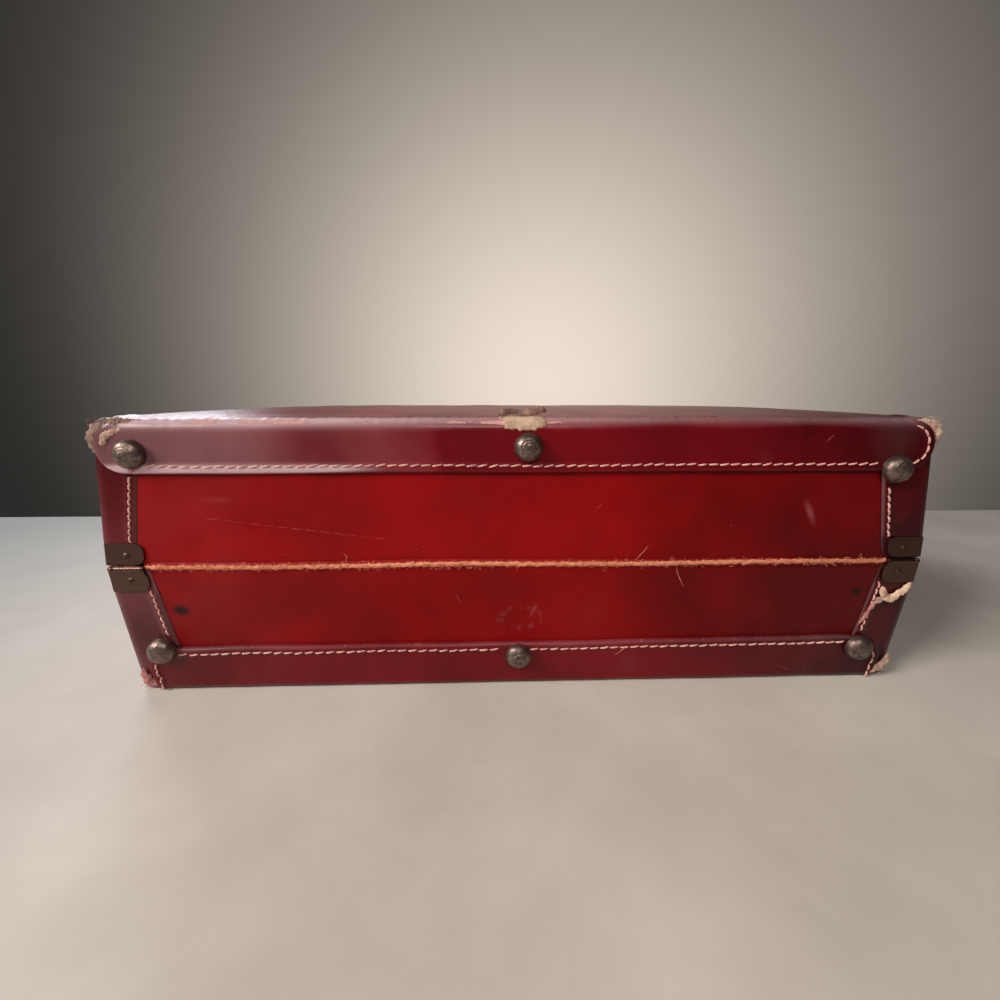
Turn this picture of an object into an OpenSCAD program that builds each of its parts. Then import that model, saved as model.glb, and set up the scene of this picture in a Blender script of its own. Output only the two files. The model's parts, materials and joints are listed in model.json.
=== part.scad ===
// Leather suitcase: two hide-covered board trays that splay towards their opening, joined by a leather
// hinge and two small steel hinges, with a carrying handle and two slide locks on the other side.
// Millimetres. The origin is the centre of the face that the case lies on. +Z is up, the hinge side
// faces -Y, and the lock side with the handle faces +Y.

/* [Case] */
// Length over the leather, at the opening
case_length = 454; // [360:1:640]
// Width from the hinge side to the lock side, at the opening
case_width = 305; // [230:1:420]
// Depth of the base, from the resting face to the seam
base_depth = 76; // [62:1:110]
// Depth of the lid, from the seam to the edge of its face
lid_depth = 78; // [62:1:110]
// Rise of the lid's crowned face above its edge
lid_crown = 9; // [3:0.5:16]
// Lean of each wall inwards from the opening, in degrees
wall_splay = 3.2; // [0.5:0.1:4]
// Radius of the board at the upright corners
corner_radius = 6; // [5:0.5:12]
// Radius of the lid's board between wall and face
lid_edge_radius = 3.5; // [2.5:0.5:4.5]
// Radius of the base's board between wall and face
base_edge_radius = 0.8; // [0.4:0.2:4]

/* [Board and hides] */
// Thickness of the fibreboard
board_t = 3.2; // [2.5:0.1:4]
// Thickness of the leather
leather_t = 1.7; // [1.4:0.1:2.2]
// Thickness of the lining
lining_t = 0.8; // [0.5:0.1:1.2]
// Width of the face leather where it is wrapped down the walls
strip_w = 28; // [24:1:34]
// Width of the lid's end leathers where they are wrapped round the corners, at the opening
lid_flap_w = 23.7; // [22:0.1:28]
// Width of the base's end leathers where they are wrapped round the corners, at the opening
base_flap_w = 26.3; // [22:0.1:28]
// How much wider those flaps would be at the edge of the face
flap_flare = 5.7; // [0:0.1:16]
// How far the lid's wall panels are set to the left
lid_panel_shift = 3.5; // [0:0.1:4]
// Width of a turned and stitched edge
hem_w = 5.2; // [4:0.1:6]
// Extra thickness of a turned edge
hem_t = 0.7; // [0.4:0.1:1]
// Distance from the case's ends to the rounded ends of the lid's wrapped leather
lid_tab_inset = 9; // [8:0.5:18]
// Distance from the case's ends to the rounded ends of the base's wrapped leather
base_tab_inset = 15; // [8:0.5:18]
// Radius of those rounded ends
tab_round = 14; // [6:1:20]
// Size of the notch that the face leather leaves at each corner
corner_notch = 16; // [12:1:20]
// Thickness of the leather bound round the edges of the opening
binding_t = 1; // [0.8:0.1:1.4]
// Depth of that binding inside the walls
binding_depth = 9; // [7:0.5:11]
// Thickness of the closing lip inside the base
lip_t = 1.6; // [1.2:0.1:2.5]
// Height of the closing lip above the seam
lip_rise = 8; // [5:0.5:9]
// Depth of the closing lip below the seam
lip_foot = 10; // [7:0.5:10]

/* [Studs] */
// Diameter of a stud over its rim
stud_d = 15.2; // [12:0.1:17]
// Height of a stud's dome
stud_dome = 5.6; // [3.5:0.1:6]
// Thickness of a stud's rim
stud_rim = 0.6; // [0.5:0.1:1.2]
// Distance of the outer studs from the ends of the case
stud_inset = 27.6; // [24:0.1:60]
// Diameter of a stud's shank
stud_shank_d = 3.2; // [2.4:0.1:4]
// Diameter of the washers inside
washer_d = 11; // [9:0.5:12]

/* [Hinges] */
// Length of a hinge leaf
leaf_length = 19.5; // [18:0.5:24]
// Height of a hinge leaf above the seam
leaf_height = 13.2; // [11:0.2:16]
// Thickness of a hinge leaf
leaf_t = 0.8; // [0.6:0.1:1]
// Radius of the hinge barrel
barrel_r = 1.5; // [1.3:0.1:1.8]
// Distance of the barrel's outer end from the leaf's outer end
barrel_inset = 4.5; // [2:0.5:6]
// Radius of the hinge pin
pin_r = 0.8; // [0.6:0.05:0.9]
// Distance of a leaf's outer end from the end of the case
leaf_inset = 5.9; // [4:0.1:8]

/* [Locks] */
// Distance of each lock from the middle
lock_x = 150; // [110:1:190]
// Width of a lock's body
lock_w = 34; // [33:1:40]
// Height of a lock's body
lock_h = 27.5; // [26:0.5:32]
// Thickness of a lock's body
lock_t = 6.5; // [6.2:0.1:7]
// Width of a hasp
hasp_w = 11.2; // [10:0.2:11.6]
// Length of a hasp below the seam
hasp_drop = 18.3; // [17.6:0.1:19]
// Travel of a lock's slide
slide_travel = 5; // [4:0.1:5]

/* [Handle] */
// Distance between the handle's two pivots
handle_span = 104; // [90:1:130]
// Drop of the grip's middle below its pivots
handle_drop = 32; // [28:1:36]
// Thickness of the grip from front to back
grip_t = 15; // [12:0.5:16]
// Height of the grip at its middle
grip_h = 17; // [14:0.5:18]
// Distance of the pivots from the leather of the wall
pivot_out = 9.5; // [9:0.5:12]
// Distance of the pivots below the seam
pivot_drop = 13; // [12:0.5:16]

/* [Hidden] */

form_fn = 24;          // facets of a corner in the trays
round_fn = 48;
film = 0.01;           // thickness of one layer in a stack that is hulled
glue_gap = 0.1;        // between two layers of board, leather and lining
seat_gap = 0.25;       // between edges that lie side by side
fit = 0.05;            // radial clearance of a pin in its bore
shank_gap = 0.1;       // radial clearance of a shank in its hole
far = 1000;            // larger than the case

// Offsets from the outside of the board, which is 0
skin = glue_gap + leather_t;
wrap_in = skin + glue_gap;
metal_in = skin + glue_gap;
wrap_out = wrap_in + leather_t;
lining_out = board_t + glue_gap;
lining_in = lining_out + lining_t;
bind_in = lining_in + glue_gap + binding_t;
lean = tan(wall_splay);
board_x = case_length / 2 - skin;
board_y = case_width / 2 - skin;
min_round = 0.4;

// Heights above the seam
seam_gap = 0.2;
rim_z = seam_gap + binding_t + glue_gap;
shoulder = skin + lid_edge_radius + 1;  // a wall leather stops this far from the face

// Crown of a face: each layer's share of the way in, and its rise follows a parabola
crown_steps = [0.1, 0.24, 0.42, 0.66, 1];
crown_flat = 22;       // half width of the crown's level top
crown_round = crown_flat - 4;  // radius that the layers' corners gain on the way in

// Studs, set by hand and so uneven: each one's place along the case and from the seam, left to right
stud_x = case_length / 2 - stud_inset;
lid_stud_places = [
  [-stud_x - 0.6, lid_depth - 18],
  [0.8, lid_depth - 15],
  [stud_x - 1.2, lid_depth - 27]
];
base_stud_places = [
  [-stud_x - 2.6, base_depth - 27],
  [-3.4, base_depth - 20],
  [stud_x - 2.4, base_depth - 21.5]
];
shank_in = lining_in + glue_gap;
washer_t = 0.9;
stud_tail_t = 0.7;
stud_tail_d = stud_shank_d + 2.4;
stud_foot = 0.3;       // of the rim beyond the dome

// Steel hinges
axis_out = barrel_r + glue_gap;
leaf_out_x = case_length / 2 - leaf_inset;
leaf_in_x = leaf_out_x - leaf_length;
leaf_round = 4.5;
leaf_foot = barrel_r + 0.25;
barrel_x = [leaf_in_x + 1.2, leaf_out_x - barrel_inset];
knuckle_w = (barrel_x[1] - barrel_x[0]) / 3;
knuckle_gap = 0.15;
pin_ball_r = 1.6;
pin_head_t = 0.7;
hinge_rivet = [leaf_out_x - 10.5, 6.8];
rivet_r = 1;
rivet_head = [1.7, 0.8];         // radius and height
bracket_rivet_head = [1.8, 0.9];
rivet_tail_t = 0.6;
rivet_tail_r = rivet_r + 0.9;

// Locks, measured in the wall's own plane: u along the case, v away from the seam, w outwards
lock_top = 2.5;
plate_t = 0.9;
flange_side = 4;       // of the lock's back flange beyond its body
channel_w = 12.4;
channel_end = lock_top + 17.5;
hasp_t = 1.4;
hasp_back = lock_t + glue_gap - hasp_t;
hasp_pivot = [-7, lock_t - 1.9];
knuckle_r = 2;
hasp_pin_r = 0.95;
bolt_v = [11.8, 14.2];
bolt_w = [3, 4.6];
staple_v = [9.6, 16.4];
staple_w = 3;
staple_t = 0.8;
staple_back = 2;
bolt_rest_nose = -2.4;
slide_cell = [-lock_w / 2 + 1.7, -channel_w / 2 - 1];
lid_plate_v = [4.5, 24];
lid_plate_w = 22;
back_margin = 3.5;     // of a back plate round its rivets
lock_rivet_v = [binding_depth + back_margin + 0.5, lock_top + lock_h - 4.5];
lock_rivets = [for (u = [-1, 1], v = lock_rivet_v) [u * (lock_w / 2 + flange_side - 2), v]];
lid_plate_rivets = [for (u = [-1, 1]) [u * 6.5, 18]];

// Handle
handle_x = handle_span / 2;
bracket_w = 27;
bracket_h = 17;
ear_t = 2;
ear_in = 4.9;
ear_r = 3.5;
handle_pin_r = 1.6;
eye_r = 3.9;
cup_r = 5;
cup_z = [-13, -6];
cup_floor = -8;
grip_end_r = 3.95;
grip_sides = 16;
grip_rings = 28;
grip_power = 3;        // above 2, the grip's line is straighter in the middle than an ellipse
bracket_rivets = [for (s = [-1, 1], u = [-1, 1]) [s * handle_x + u * 10, pivot_drop]];

// World places of the two turning axes on the lock side
function on_base_front(v, w) = [
  board_y - v * sin(wall_splay) + (metal_in + w) * cos(wall_splay),
  base_depth - v * cos(wall_splay) - (metal_in + w) * sin(wall_splay)
];
hasp_axis = on_base_front(hasp_pivot[0], hasp_pivot[1]);
handle_axis = on_base_front(pivot_drop, pivot_out);

// Places a half drawn with its seam at z = 0 and its face above
module in_lid() { translate([0, 0, base_depth]) children(); }
module in_base() { translate([0, 0, base_depth]) mirror([0, 0, 1]) children(); }

// Place things on a wall: x stays along the case, y runs up the wall from the seam, z points outwards
module on_hinge_wall() { translate([0, -board_y, 0]) rotate([90 - wall_splay, 0, 0]) children(); }
module on_front_wall() { mirror([0, 1, 0]) on_hinge_wall() children(); }

// Copies to both ends of the case
module both_ends() { children(); mirror([1, 0, 0]) children(); }
module right_end(side) { mirror([side < 0 ? 1 : 0, 0, 0]) children(); }

// Rounded rectangle with true arcs
module rounded(size, r) {
  translate([r, 0]) square([size[0] - 2 * r, size[1]]);
  translate([0, r]) square([size[0], size[1] - 2 * r]);
  for (x = [r, size[0] - r], y = [r, size[1] - r])
    translate([x, y]) circle(r = r, $fn = round_fn);
}

// Low dome of a sphere
module dome(r, h) {
  ball = (r * r + h * h) / (2 * h);
  intersection() {
    translate([0, 0, h - ball]) sphere(r = ball, $fn = round_fn);
    cylinder(r = r, h = h, $fn = round_fn);
  }
}

// One layer of a tray: a rounded rectangle, set in from the outline of the board's opening
module layer(inset, z, r) {
  for (x = [-1, 1], y = [-1, 1])
    translate([x * (board_x - inset - r), y * (board_y - inset - r), z])
      cylinder(r = r, h = film, $fn = form_fn);
}

// The lid alone is crowned, and its edge is the rounder one
function edge_of(crown) = crown > 0 ? lid_edge_radius : base_edge_radius;

// Solid tray with its walls and face offset from the outside of the board
module tray(depth, crown, wall, face, z0) {
  r = max(edge_of(crown) + wall, min_round);
  corner = max(corner_radius + wall, r + 0.5);
  zc = depth - skin + face - r;
  start = zc * lean - wall + r;
  way = board_y - start - crown_flat;
  hull() {
    layer(z0 * lean - wall, z0, corner);
    for (a = [0 : 15 : crown > 0 ? 75 : 90])
      layer(start - r * cos(a), zc + r * sin(a) - film, corner - r * (1 - cos(a)));
    if (crown > 0)
      for (t = crown_steps)
        layer(start + t * way, zc + r + crown * t * (2 - t) - film, corner - r + t * crown_round);
  }
}

// Solid band of a tray's walls between two heights
module band(wall, z0, z1) {
  corner = max(corner_radius + wall, 1);
  hull() {
    layer(z0 * lean - wall, z0, corner);
    layer(z1 * lean - wall, z1 - film, corner);
  }
}

// Holes through every layer of a wall at the given places
module drill(places, r) {
  for (p = places)
    translate([p[0], p[1], -lining_in - 3]) cylinder(r = r + shank_gap, h = lining_in + 12, $fn = round_fn);
}

function at_locks(places) = [for (s = [-1, 1], p = places) [s * lock_x + p[0], p[1]]];
hinge_places = [for (s = [-1, 1]) [s * hinge_rivet[0], hinge_rivet[1]]];

// Every hole in the walls of a half
module wall_holes(studs, front) {
  on_hinge_wall() {
    drill(studs, stud_shank_d / 2);
    drill(hinge_places, rivet_r);
  }
  on_front_wall() drill(front, rivet_r);
}
lid_front_holes = at_locks(lid_plate_rivets);
base_front_holes = concat(at_locks(lock_rivets), bracket_rivets);

// Fibreboard tray
module carcass(depth, crown, studs, front) {
  difference() {
    tray(depth, crown, 0, 0, rim_z);
    tray(depth, crown, -board_t, -board_t, rim_z - 1);
    wall_holes(studs, front);
  }
}

// Lining, glued inside the board
module lining(depth, crown, studs, front) {
  difference() {
    tray(depth, crown, -lining_out, -lining_out, rim_z + 0.5);
    tray(depth, crown, -lining_in, -lining_in, rim_z - 1);
    wall_holes(studs, front);
  }
}

// Outline of a wrapped tab on one wall, with rounded ends, which is narrower where it meets the face
module tab(half, depth, inset, notch) {
  straight = half - inset - tab_round;
  foot = depth - strip_w;
  for (x = [-straight, straight])
    translate([x, foot + tab_round]) circle(r = tab_round, $fn = round_fn);
  translate([-straight, foot - 1]) square([2 * straight, far]);
  translate([notch - half, foot + tab_round]) square([2 * (half - notch), far]);
}

// Where the face leather lies: its four tabs, which leave the corners bare, grown by a gap
module tabs(depth, inset, gap) {
  rotate([90, 0, 0]) translate([0, 0, -far / 2]) linear_extrude(far)
    tab(case_length / 2, depth, inset - gap, corner_notch - gap);
  rotate([90, 0, 90]) translate([0, 0, -far / 2]) linear_extrude(far)
    tab(case_width / 2, depth, inset - gap, corner_notch - gap);
}

// Face leather, wrapped over the edges and down each wall as a tab with a turned edge
module face_leather(depth, crown, inset, studs) {
  foot = depth - strip_w;
  difference() {
    intersection() {
      union() {
        difference() {
          tray(depth, crown, wrap_out, skin, foot);
          tray(depth, crown, wrap_in, glue_gap, foot - 1);
        }
        difference() {
          band(wrap_out + hem_t, foot, foot + hem_w);
          band(wrap_in, foot - 1, foot + hem_w + 1);
        }
      }
      tabs(depth, inset, 0);
    }
    on_hinge_wall() {
      drill(studs, stud_shank_d / 2);
      for (p = studs)
        translate([p[0], p[1], wrap_out]) cylinder(r = stud_d / 2 + seat_gap, h = 5, $fn = round_fn);
    }
  }
}

// Inner edge of the flap that the end leather makes round each corner
function flap_edge(flap, v) = case_length / 2 - flap - v * lean - flap_flare * v / lid_depth;

// Wall leather between the flaps, in the wall's own plane
module wall_panel(depth, flap, foot, shift) {
  top = depth - shoulder;
  low = flap_edge(flap, foot) - seat_gap;
  high = flap_edge(flap, top) - seat_gap;
  translate([shift, 0, glue_gap]) linear_extrude(leather_t)
    polygon([[-low, foot], [low, foot], [high, top], [-high, top]]);
}

// Turned edge of one flap, from the hinge leaf or the binding up to the face leather
module flap_hem(depth, flap, foot, shift) {
  top = depth - strip_w - seat_gap;
  low = flap_edge(flap, foot);
  high = flap_edge(flap, top);
  translate([shift, 0, skin - glue_gap]) linear_extrude(hem_t + glue_gap)
    polygon([[low, foot], [low + hem_w, foot], [high + hem_w, top], [high, top]]);
}

// Leather of the right end, wrapped round both corners. Above the walls it is left only in the corners,
// where it is turned over the edge and fills the notches of the face leather.
module end_leather(depth, crown, flap, inset, shift) {
  top = depth - shoulder;
  intersection() {
    difference() {
      tray(depth, crown, skin, skin, rim_z);
      tray(depth, crown, glue_gap, glue_gap, rim_z - 1);
      intersection() {
        tabs(depth, inset, seat_gap);
        translate([-far / 2, -far / 2, top]) cube(far);
      }
    }
    rotate([90, 0, 0]) translate([shift, 0, -far / 2]) linear_extrude(far) polygon([
      [flap_edge(flap, 0), 0],
      [far, 0],
      [far, far],
      [flap_edge(flap, depth), far],
      [flap_edge(flap, depth), depth]
    ]);
  }
  on_hinge_wall() flap_hem(depth, flap, leaf_height + seat_gap, shift);
  on_front_wall() flap_hem(depth, flap, rim_z + hem_w, shift);
}

module drilled_end_leather(depth, crown, flap, inset, studs, shift) {
  difference() {
    end_leather(depth, crown, flap, inset, shift);
    on_hinge_wall() {
      drill(studs, stud_shank_d / 2);
      drill(hinge_places, rivet_r);
    }
  }
}

// Leather bound over the edges of the opening on the three sides that part
module rim_binding() {
  difference() {
    union() {
      band(skin, seam_gap, seam_gap + binding_t);
      band(-lining_in - glue_gap, seam_gap, binding_depth);
    }
    band(-bind_in, -1, binding_depth + 1);
    translate([-far / 2, -far - board_y + corner_radius, -far / 2]) cube(far);
  }
}

// Domed stud with its shank and peened tail, seated on the face leather
module stud() {
  tail = -shank_in - wrap_out - washer_t;
  cylinder(r = stud_d / 2, h = stud_rim, $fn = round_fn);
  translate([0, 0, stud_rim]) dome(stud_d / 2 - stud_foot, stud_dome);
  translate([0, 0, tail - stud_tail_t]) cylinder(d = stud_shank_d, h = stud_tail_t - tail, $fn = round_fn);
  translate([0, 0, tail - stud_tail_t]) cylinder(d = stud_tail_d, h = stud_tail_t - glue_gap, $fn = round_fn);
}

module studs(places) {
  on_hinge_wall()
    for (p = places) translate([p[0], p[1], wrap_out + glue_gap]) stud();
}

module stud_washers(places) {
  on_hinge_wall()
    for (p = places) translate([p[0], p[1], -shank_in - washer_t]) difference() {
      cylinder(d = washer_d, h = washer_t, $fn = round_fn);
      translate([0, 0, -1]) cylinder(r = stud_shank_d / 2 + shank_gap, h = washer_t + 2, $fn = round_fn);
    }
}

// Rivet with its head on an outer face at z = 0 and its tail clinched inside, grip below its head
module rivet(grip, head) {
  dome(head[0], head[1]);
  translate([0, 0, -grip - rivet_tail_t]) {
    cylinder(r = rivet_r, h = grip + rivet_tail_t + 0.1, $fn = round_fn);
    cylinder(r = rivet_tail_r, h = rivet_tail_t - glue_gap, $fn = round_fn);
  }
}

module rivets(places, seat, inside, head = rivet_head) {
  for (p = places) translate([p[0], p[1], seat + glue_gap / 2]) rivet(seat + inside, head);
}

// Right-hand leaf of a steel hinge, drawn for the lid, with the knuckles numbered in the list
module hinge_leaf(knuckles) {
  difference() {
    union() {
      on_hinge_wall() translate([0, 0, metal_in]) linear_extrude(leaf_t) {
        translate([leaf_in_x + leaf_round, leaf_foot])
          square([leaf_length - leaf_round, leaf_height - leaf_foot]);
        translate([leaf_in_x, leaf_foot + leaf_round])
          square([leaf_round, leaf_height - leaf_foot - 2 * leaf_round]);
        for (v = [leaf_foot + leaf_round, leaf_height - leaf_round])
          translate([leaf_in_x + leaf_round, v]) circle(r = leaf_round, $fn = round_fn);
        for (k = knuckles) translate([barrel_x[0] + k * knuckle_w + knuckle_gap / 2, 0])
          square([knuckle_w - knuckle_gap, leaf_foot + 1]);
      }
      for (k = knuckles)
        translate([barrel_x[0] + k * knuckle_w + knuckle_gap / 2, -case_width / 2 - axis_out, 0])
          rotate([0, 90, 0]) cylinder(r = barrel_r, h = knuckle_w - knuckle_gap, $fn = round_fn);
    }
    translate([0, -case_width / 2 - axis_out, 0]) rotate([0, 90, 0])
      cylinder(r = pin_r + fit, h = far, $fn = round_fn);
    on_hinge_wall() drill([hinge_rivet], rivet_r);
  }
}

// Pin of the right-hand hinge, with a ball at its outer end and a small head at the other
module hinge_pin() {
  translate([0, -case_width / 2 - axis_out, base_depth]) {
    translate([barrel_x[0] - pin_head_t, 0, 0]) rotate([0, 90, 0])
      cylinder(r = pin_r, h = barrel_x[1] - barrel_x[0] + 2 * pin_head_t, $fn = round_fn);
    translate([barrel_x[0] - pin_head_t - glue_gap, 0, 0]) rotate([0, 90, 0])
      cylinder(r = barrel_r - 0.2, h = pin_head_t, $fn = round_fn);
    translate([barrel_x[1] + pin_ball_r, 0, 0]) sphere(r = pin_ball_r, $fn = round_fn);
  }
}

// Body of the left lock, in the wall's plane: an open channel for the hasp, and a cell for the bolt
module lock_body() {
  flange = [lock_w + 2 * flange_side, lock_h - 3];
  bolt_h = bolt_v[1] - bolt_v[0];
  difference() {
    union() {
      translate([-flange[0] / 2, lock_top + 1.5, 0]) linear_extrude(plate_t) rounded(flange, 3);
      translate([-lock_w / 2, lock_top, 0]) linear_extrude(lock_t) rounded([lock_w, lock_h], 2);
    }
    translate([-channel_w / 2, lock_top - 1, plate_t]) cube([channel_w, channel_end - lock_top + 1, lock_t]);
    translate([slide_cell[0], bolt_v[0] - 2, plate_t])
      cube([slide_cell[1] - slide_cell[0], bolt_h + 4, lock_t - 2 * plate_t]);
    translate([slide_cell[1] - 1, bolt_v[0] - 0.4, bolt_w[0] - 0.4])
      cube([3, bolt_h + 0.8, bolt_w[1] - bolt_w[0] + 0.8]);
    translate([slide_cell[0] + 0.6, bolt_v[0] + 0.1, plate_t])
      cube([2.2 + slide_travel + 0.2, bolt_h - 0.2, lock_t]);
    for (p = lock_rivets) translate([p[0], p[1], -1])
      cylinder(r = rivet_r + shank_gap, h = 3, $fn = round_fn);
    // Keyhole beside the channel
    translate([channel_w / 2 + 5, 12, lock_t - 1.4]) {
      cylinder(r = 1.7, h = 3, $fn = round_fn);
      translate([-0.7, 0, 0]) cube([1.4, 5, 3]);
    }
  }
}

// Slide of the left lock, released: a bolt in the body and a ribbed thumb piece outside
module slide_bolt() {
  bolt_h = bolt_v[1] - bolt_v[0];
  stem_u = slide_cell[0] + 0.8;
  thumb = [5, 7];
  translate([slide_cell[0] + 0.2, bolt_v[0], bolt_w[0]])
    cube([bolt_rest_nose - slide_cell[0] - 0.2, bolt_h, bolt_w[1] - bolt_w[0]]);
  translate([stem_u, bolt_v[0] + 0.2, bolt_w[0]]) cube([2, bolt_h - 0.4, lock_t + 0.4 - bolt_w[0]]);
  translate([stem_u + 1 - thumb[0] / 2, (bolt_v[0] + bolt_v[1] - thumb[1]) / 2, lock_t + 0.25]) {
    linear_extrude(1) rounded(thumb, 1.2);
    for (i = [0 : 2]) translate([1.1 + i * 1.4, 1, 1]) rotate([-90, 0, 0])
      cylinder(r = 0.5, h = thumb[1] - 2, $fn = 24);
  }
}

// Plate on the lid that carries the hasp between its two cheeks, drawn for either lock
module hasp_plate() {
  // The hasp's axis, in the plane of the lid's wall
  dy = hasp_axis[0] - board_y;
  dz = hasp_axis[1] - base_depth;
  v = dz * cos(wall_splay) - dy * sin(wall_splay);
  w = dy * cos(wall_splay) + dz * sin(wall_splay) - metal_in;
  cheek = [hasp_w / 2 - 1.4, lid_plate_w / 2 - 2];
  difference() {
    union() {
      translate([-lid_plate_w / 2, lid_plate_v[0], 0]) linear_extrude(plate_t)
        rounded([lid_plate_w, lid_plate_v[1] - lid_plate_v[0]], 3);
      for (s = [-1, 1]) {
        translate([s > 0 ? cheek[0] : -cheek[1], v, w]) rotate([0, 90, 0])
          cylinder(r = knuckle_r, h = cheek[1] - cheek[0], $fn = round_fn);
        translate([s > 0 ? cheek[0] : -cheek[1], v - knuckle_r, plate_t - glue_gap])
          cube([cheek[1] - cheek[0], 2 * knuckle_r, w - plate_t + glue_gap]);
      }
    }
    translate([-far / 2, v, w]) rotate([0, 90, 0]) cylinder(r = hasp_pin_r + fit, h = far, $fn = round_fn);
    for (p = lid_plate_rivets) translate([p[0], p[1], -1])
      cylinder(r = rivet_r + shank_gap, h = 3, $fn = round_fn);
  }
}

// Hasp, closed, in the plane of the base's wall: it hangs from the lid's plate over the seam
module hasp() {
  neck = 4.5;
  neck_w = hasp_w - 3.2;
  difference() {
    union() {
      translate([-neck_w / 2, hasp_pivot[0], hasp_back]) cube([neck_w, neck, hasp_t]);
      translate([-hasp_w / 2, hasp_pivot[0] + neck - 1.5, hasp_back])
        linear_extrude(hasp_t) rounded([hasp_w, hasp_drop - hasp_pivot[0] - neck + 1.5], 1.5);
      translate([-neck_w / 2, hasp_pivot[0], hasp_pivot[1]]) rotate([0, 90, 0])
        cylinder(r = knuckle_r, h = neck_w, $fn = round_fn);
      // Lip for the thumb
      translate([-hasp_w / 2 + 1.5, hasp_drop - 1.1, lock_t - 0.3]) rotate([0, 90, 0])
        cylinder(r = 1.1, h = hasp_w - 3, $fn = round_fn);
      // Staple
      translate([-staple_w / 2, staple_v[0], staple_back])
        cube([staple_w, staple_v[1] - staple_v[0], hasp_back - staple_back + glue_gap]);
    }
    translate([-staple_w, staple_v[0] + staple_t, staple_back + staple_t])
      cube([2 * staple_w, staple_v[1] - staple_v[0] - 2 * staple_t, hasp_back - staple_back - staple_t]);
    translate([-far / 2, hasp_pivot[0], hasp_pivot[1]]) rotate([0, 90, 0])
      cylinder(r = hasp_pin_r + fit, h = far, $fn = round_fn);
  }
}

module hasp_pin() {
  length = lid_plate_w - 3;
  translate([-length / 2, hasp_axis[0], hasp_axis[1]]) rotate([0, 90, 0])
    cylinder(r = hasp_pin_r, h = length, $fn = round_fn);
}

// Plate inside the lining that takes the tails of some rivets
module back_plate(places, margin) {
  low = [min([for (p = places) p[0]]) - margin, min([for (p = places) p[1]]) - margin];
  high = [max([for (p = places) p[0]]) + margin, max([for (p = places) p[1]]) + margin];
  translate([low[0], low[1], -shank_in - plate_t]) difference() {
    linear_extrude(plate_t) rounded(high - low, 2);
    for (p = places) translate([p[0] - low[0], p[1] - low[1], -1])
      cylinder(r = rivet_r + shank_gap, h = 3, $fn = round_fn);
  }
}

// Bracket of the handle: a riveted plate with two ears, in the wall's plane
module handle_bracket() {
  difference() {
    union() {
      translate([-bracket_w / 2, pivot_drop - bracket_h / 2, 0])
        linear_extrude(plate_t + 0.2) rounded([bracket_w, bracket_h], 4);
      for (s = [-1, 1]) translate([s > 0 ? ear_in : -ear_in - ear_t, pivot_drop, 0]) {
        translate([0, -ear_r, plate_t]) cube([ear_t, 2 * ear_r, pivot_out - plate_t]);
        translate([0, 0, pivot_out]) rotate([0, 90, 0]) cylinder(r = ear_r, h = ear_t, $fn = round_fn);
      }
    }
    translate([-far / 2, pivot_drop, pivot_out]) rotate([0, 90, 0])
      cylinder(r = handle_pin_r + fit, h = far, $fn = round_fn);
    for (u = [-1, 1]) translate([u * 10, pivot_drop, -1])
      cylinder(r = rivet_r + shank_gap, h = 4, $fn = round_fn);
  }
}

// Pin of the handle, with a flat head at each end
module handle_pin() {
  length = 2 * (ear_in + ear_t) + 0.4;
  head = [handle_pin_r + 0.9, 0.9];
  translate([-length / 2, handle_axis[0], handle_axis[1]]) rotate([0, 90, 0]) {
    cylinder(r = handle_pin_r, h = length, $fn = round_fn);
    for (z = [glue_gap - head[1], length - glue_gap])
      translate([0, 0, z]) cylinder(r = head[0], h = head[1], $fn = round_fn);
  }
}

// End fitting of the handle, hanging: an eye on the pin and a cup for the grip's end
module end_fitting() {
  difference() {
    union() {
      translate([-ear_in + seat_gap, 0, 0]) rotate([0, 90, 0])
        cylinder(r = eye_r, h = 2 * (ear_in - seat_gap), $fn = round_fn);
      translate([-3.5, -2.6, cup_z[1] - 1]) cube([7, 5.2, -cup_z[1] - 1]);
      translate([0, 0, cup_z[0]]) cylinder(r = cup_r, h = cup_z[1] - cup_z[0], $fn = round_fn);
    }
    translate([-far / 2, 0, 0]) rotate([0, 90, 0]) cylinder(r = handle_pin_r + fit, h = far, $fn = round_fn);
    translate([0, 0, cup_z[0] - 1])
      cylinder(r = grip_end_r + glue_gap, h = cup_floor - cup_z[0] + 1, $fn = round_fn);
  }
}

// The grip's line and its swelling, from one cup (s = 0) round to the other (s = 1)
function sign_pow(a, p) = sign(a) * pow(abs(a), p);
function grip_line(s) =
  let (a = 180 + 180 * s, reach = handle_drop + cup_z[0] - 1)
  [handle_x * sign_pow(cos(a), 2 / grip_power), cup_z[0] - 1 + reach * sign_pow(sin(a), 2 / grip_power)];
function grip_swell(s) = let (t = min(1, 2.6 * min(s, 1 - s))) t * t * (3 - 2 * t);
function grip_ring(p, along, swell) =
  let (
    rn = grip_end_r + (grip_h / 2 - grip_end_r) * swell,
    rt = grip_end_r + (grip_t / 2 - grip_end_r) * swell
  )
  [for (i = [0 : grip_sides - 1])
    let (a = 360 * (i + 0.5) / grip_sides)
    [p[0] - along[1] * rn * cos(a), rt * sin(a), p[1] + along[0] * rn * cos(a)]];
function unit(v) = v / norm(v);
function grip_along(s) = unit(grip_line(s + 0.004) - grip_line(s - 0.004));

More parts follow.
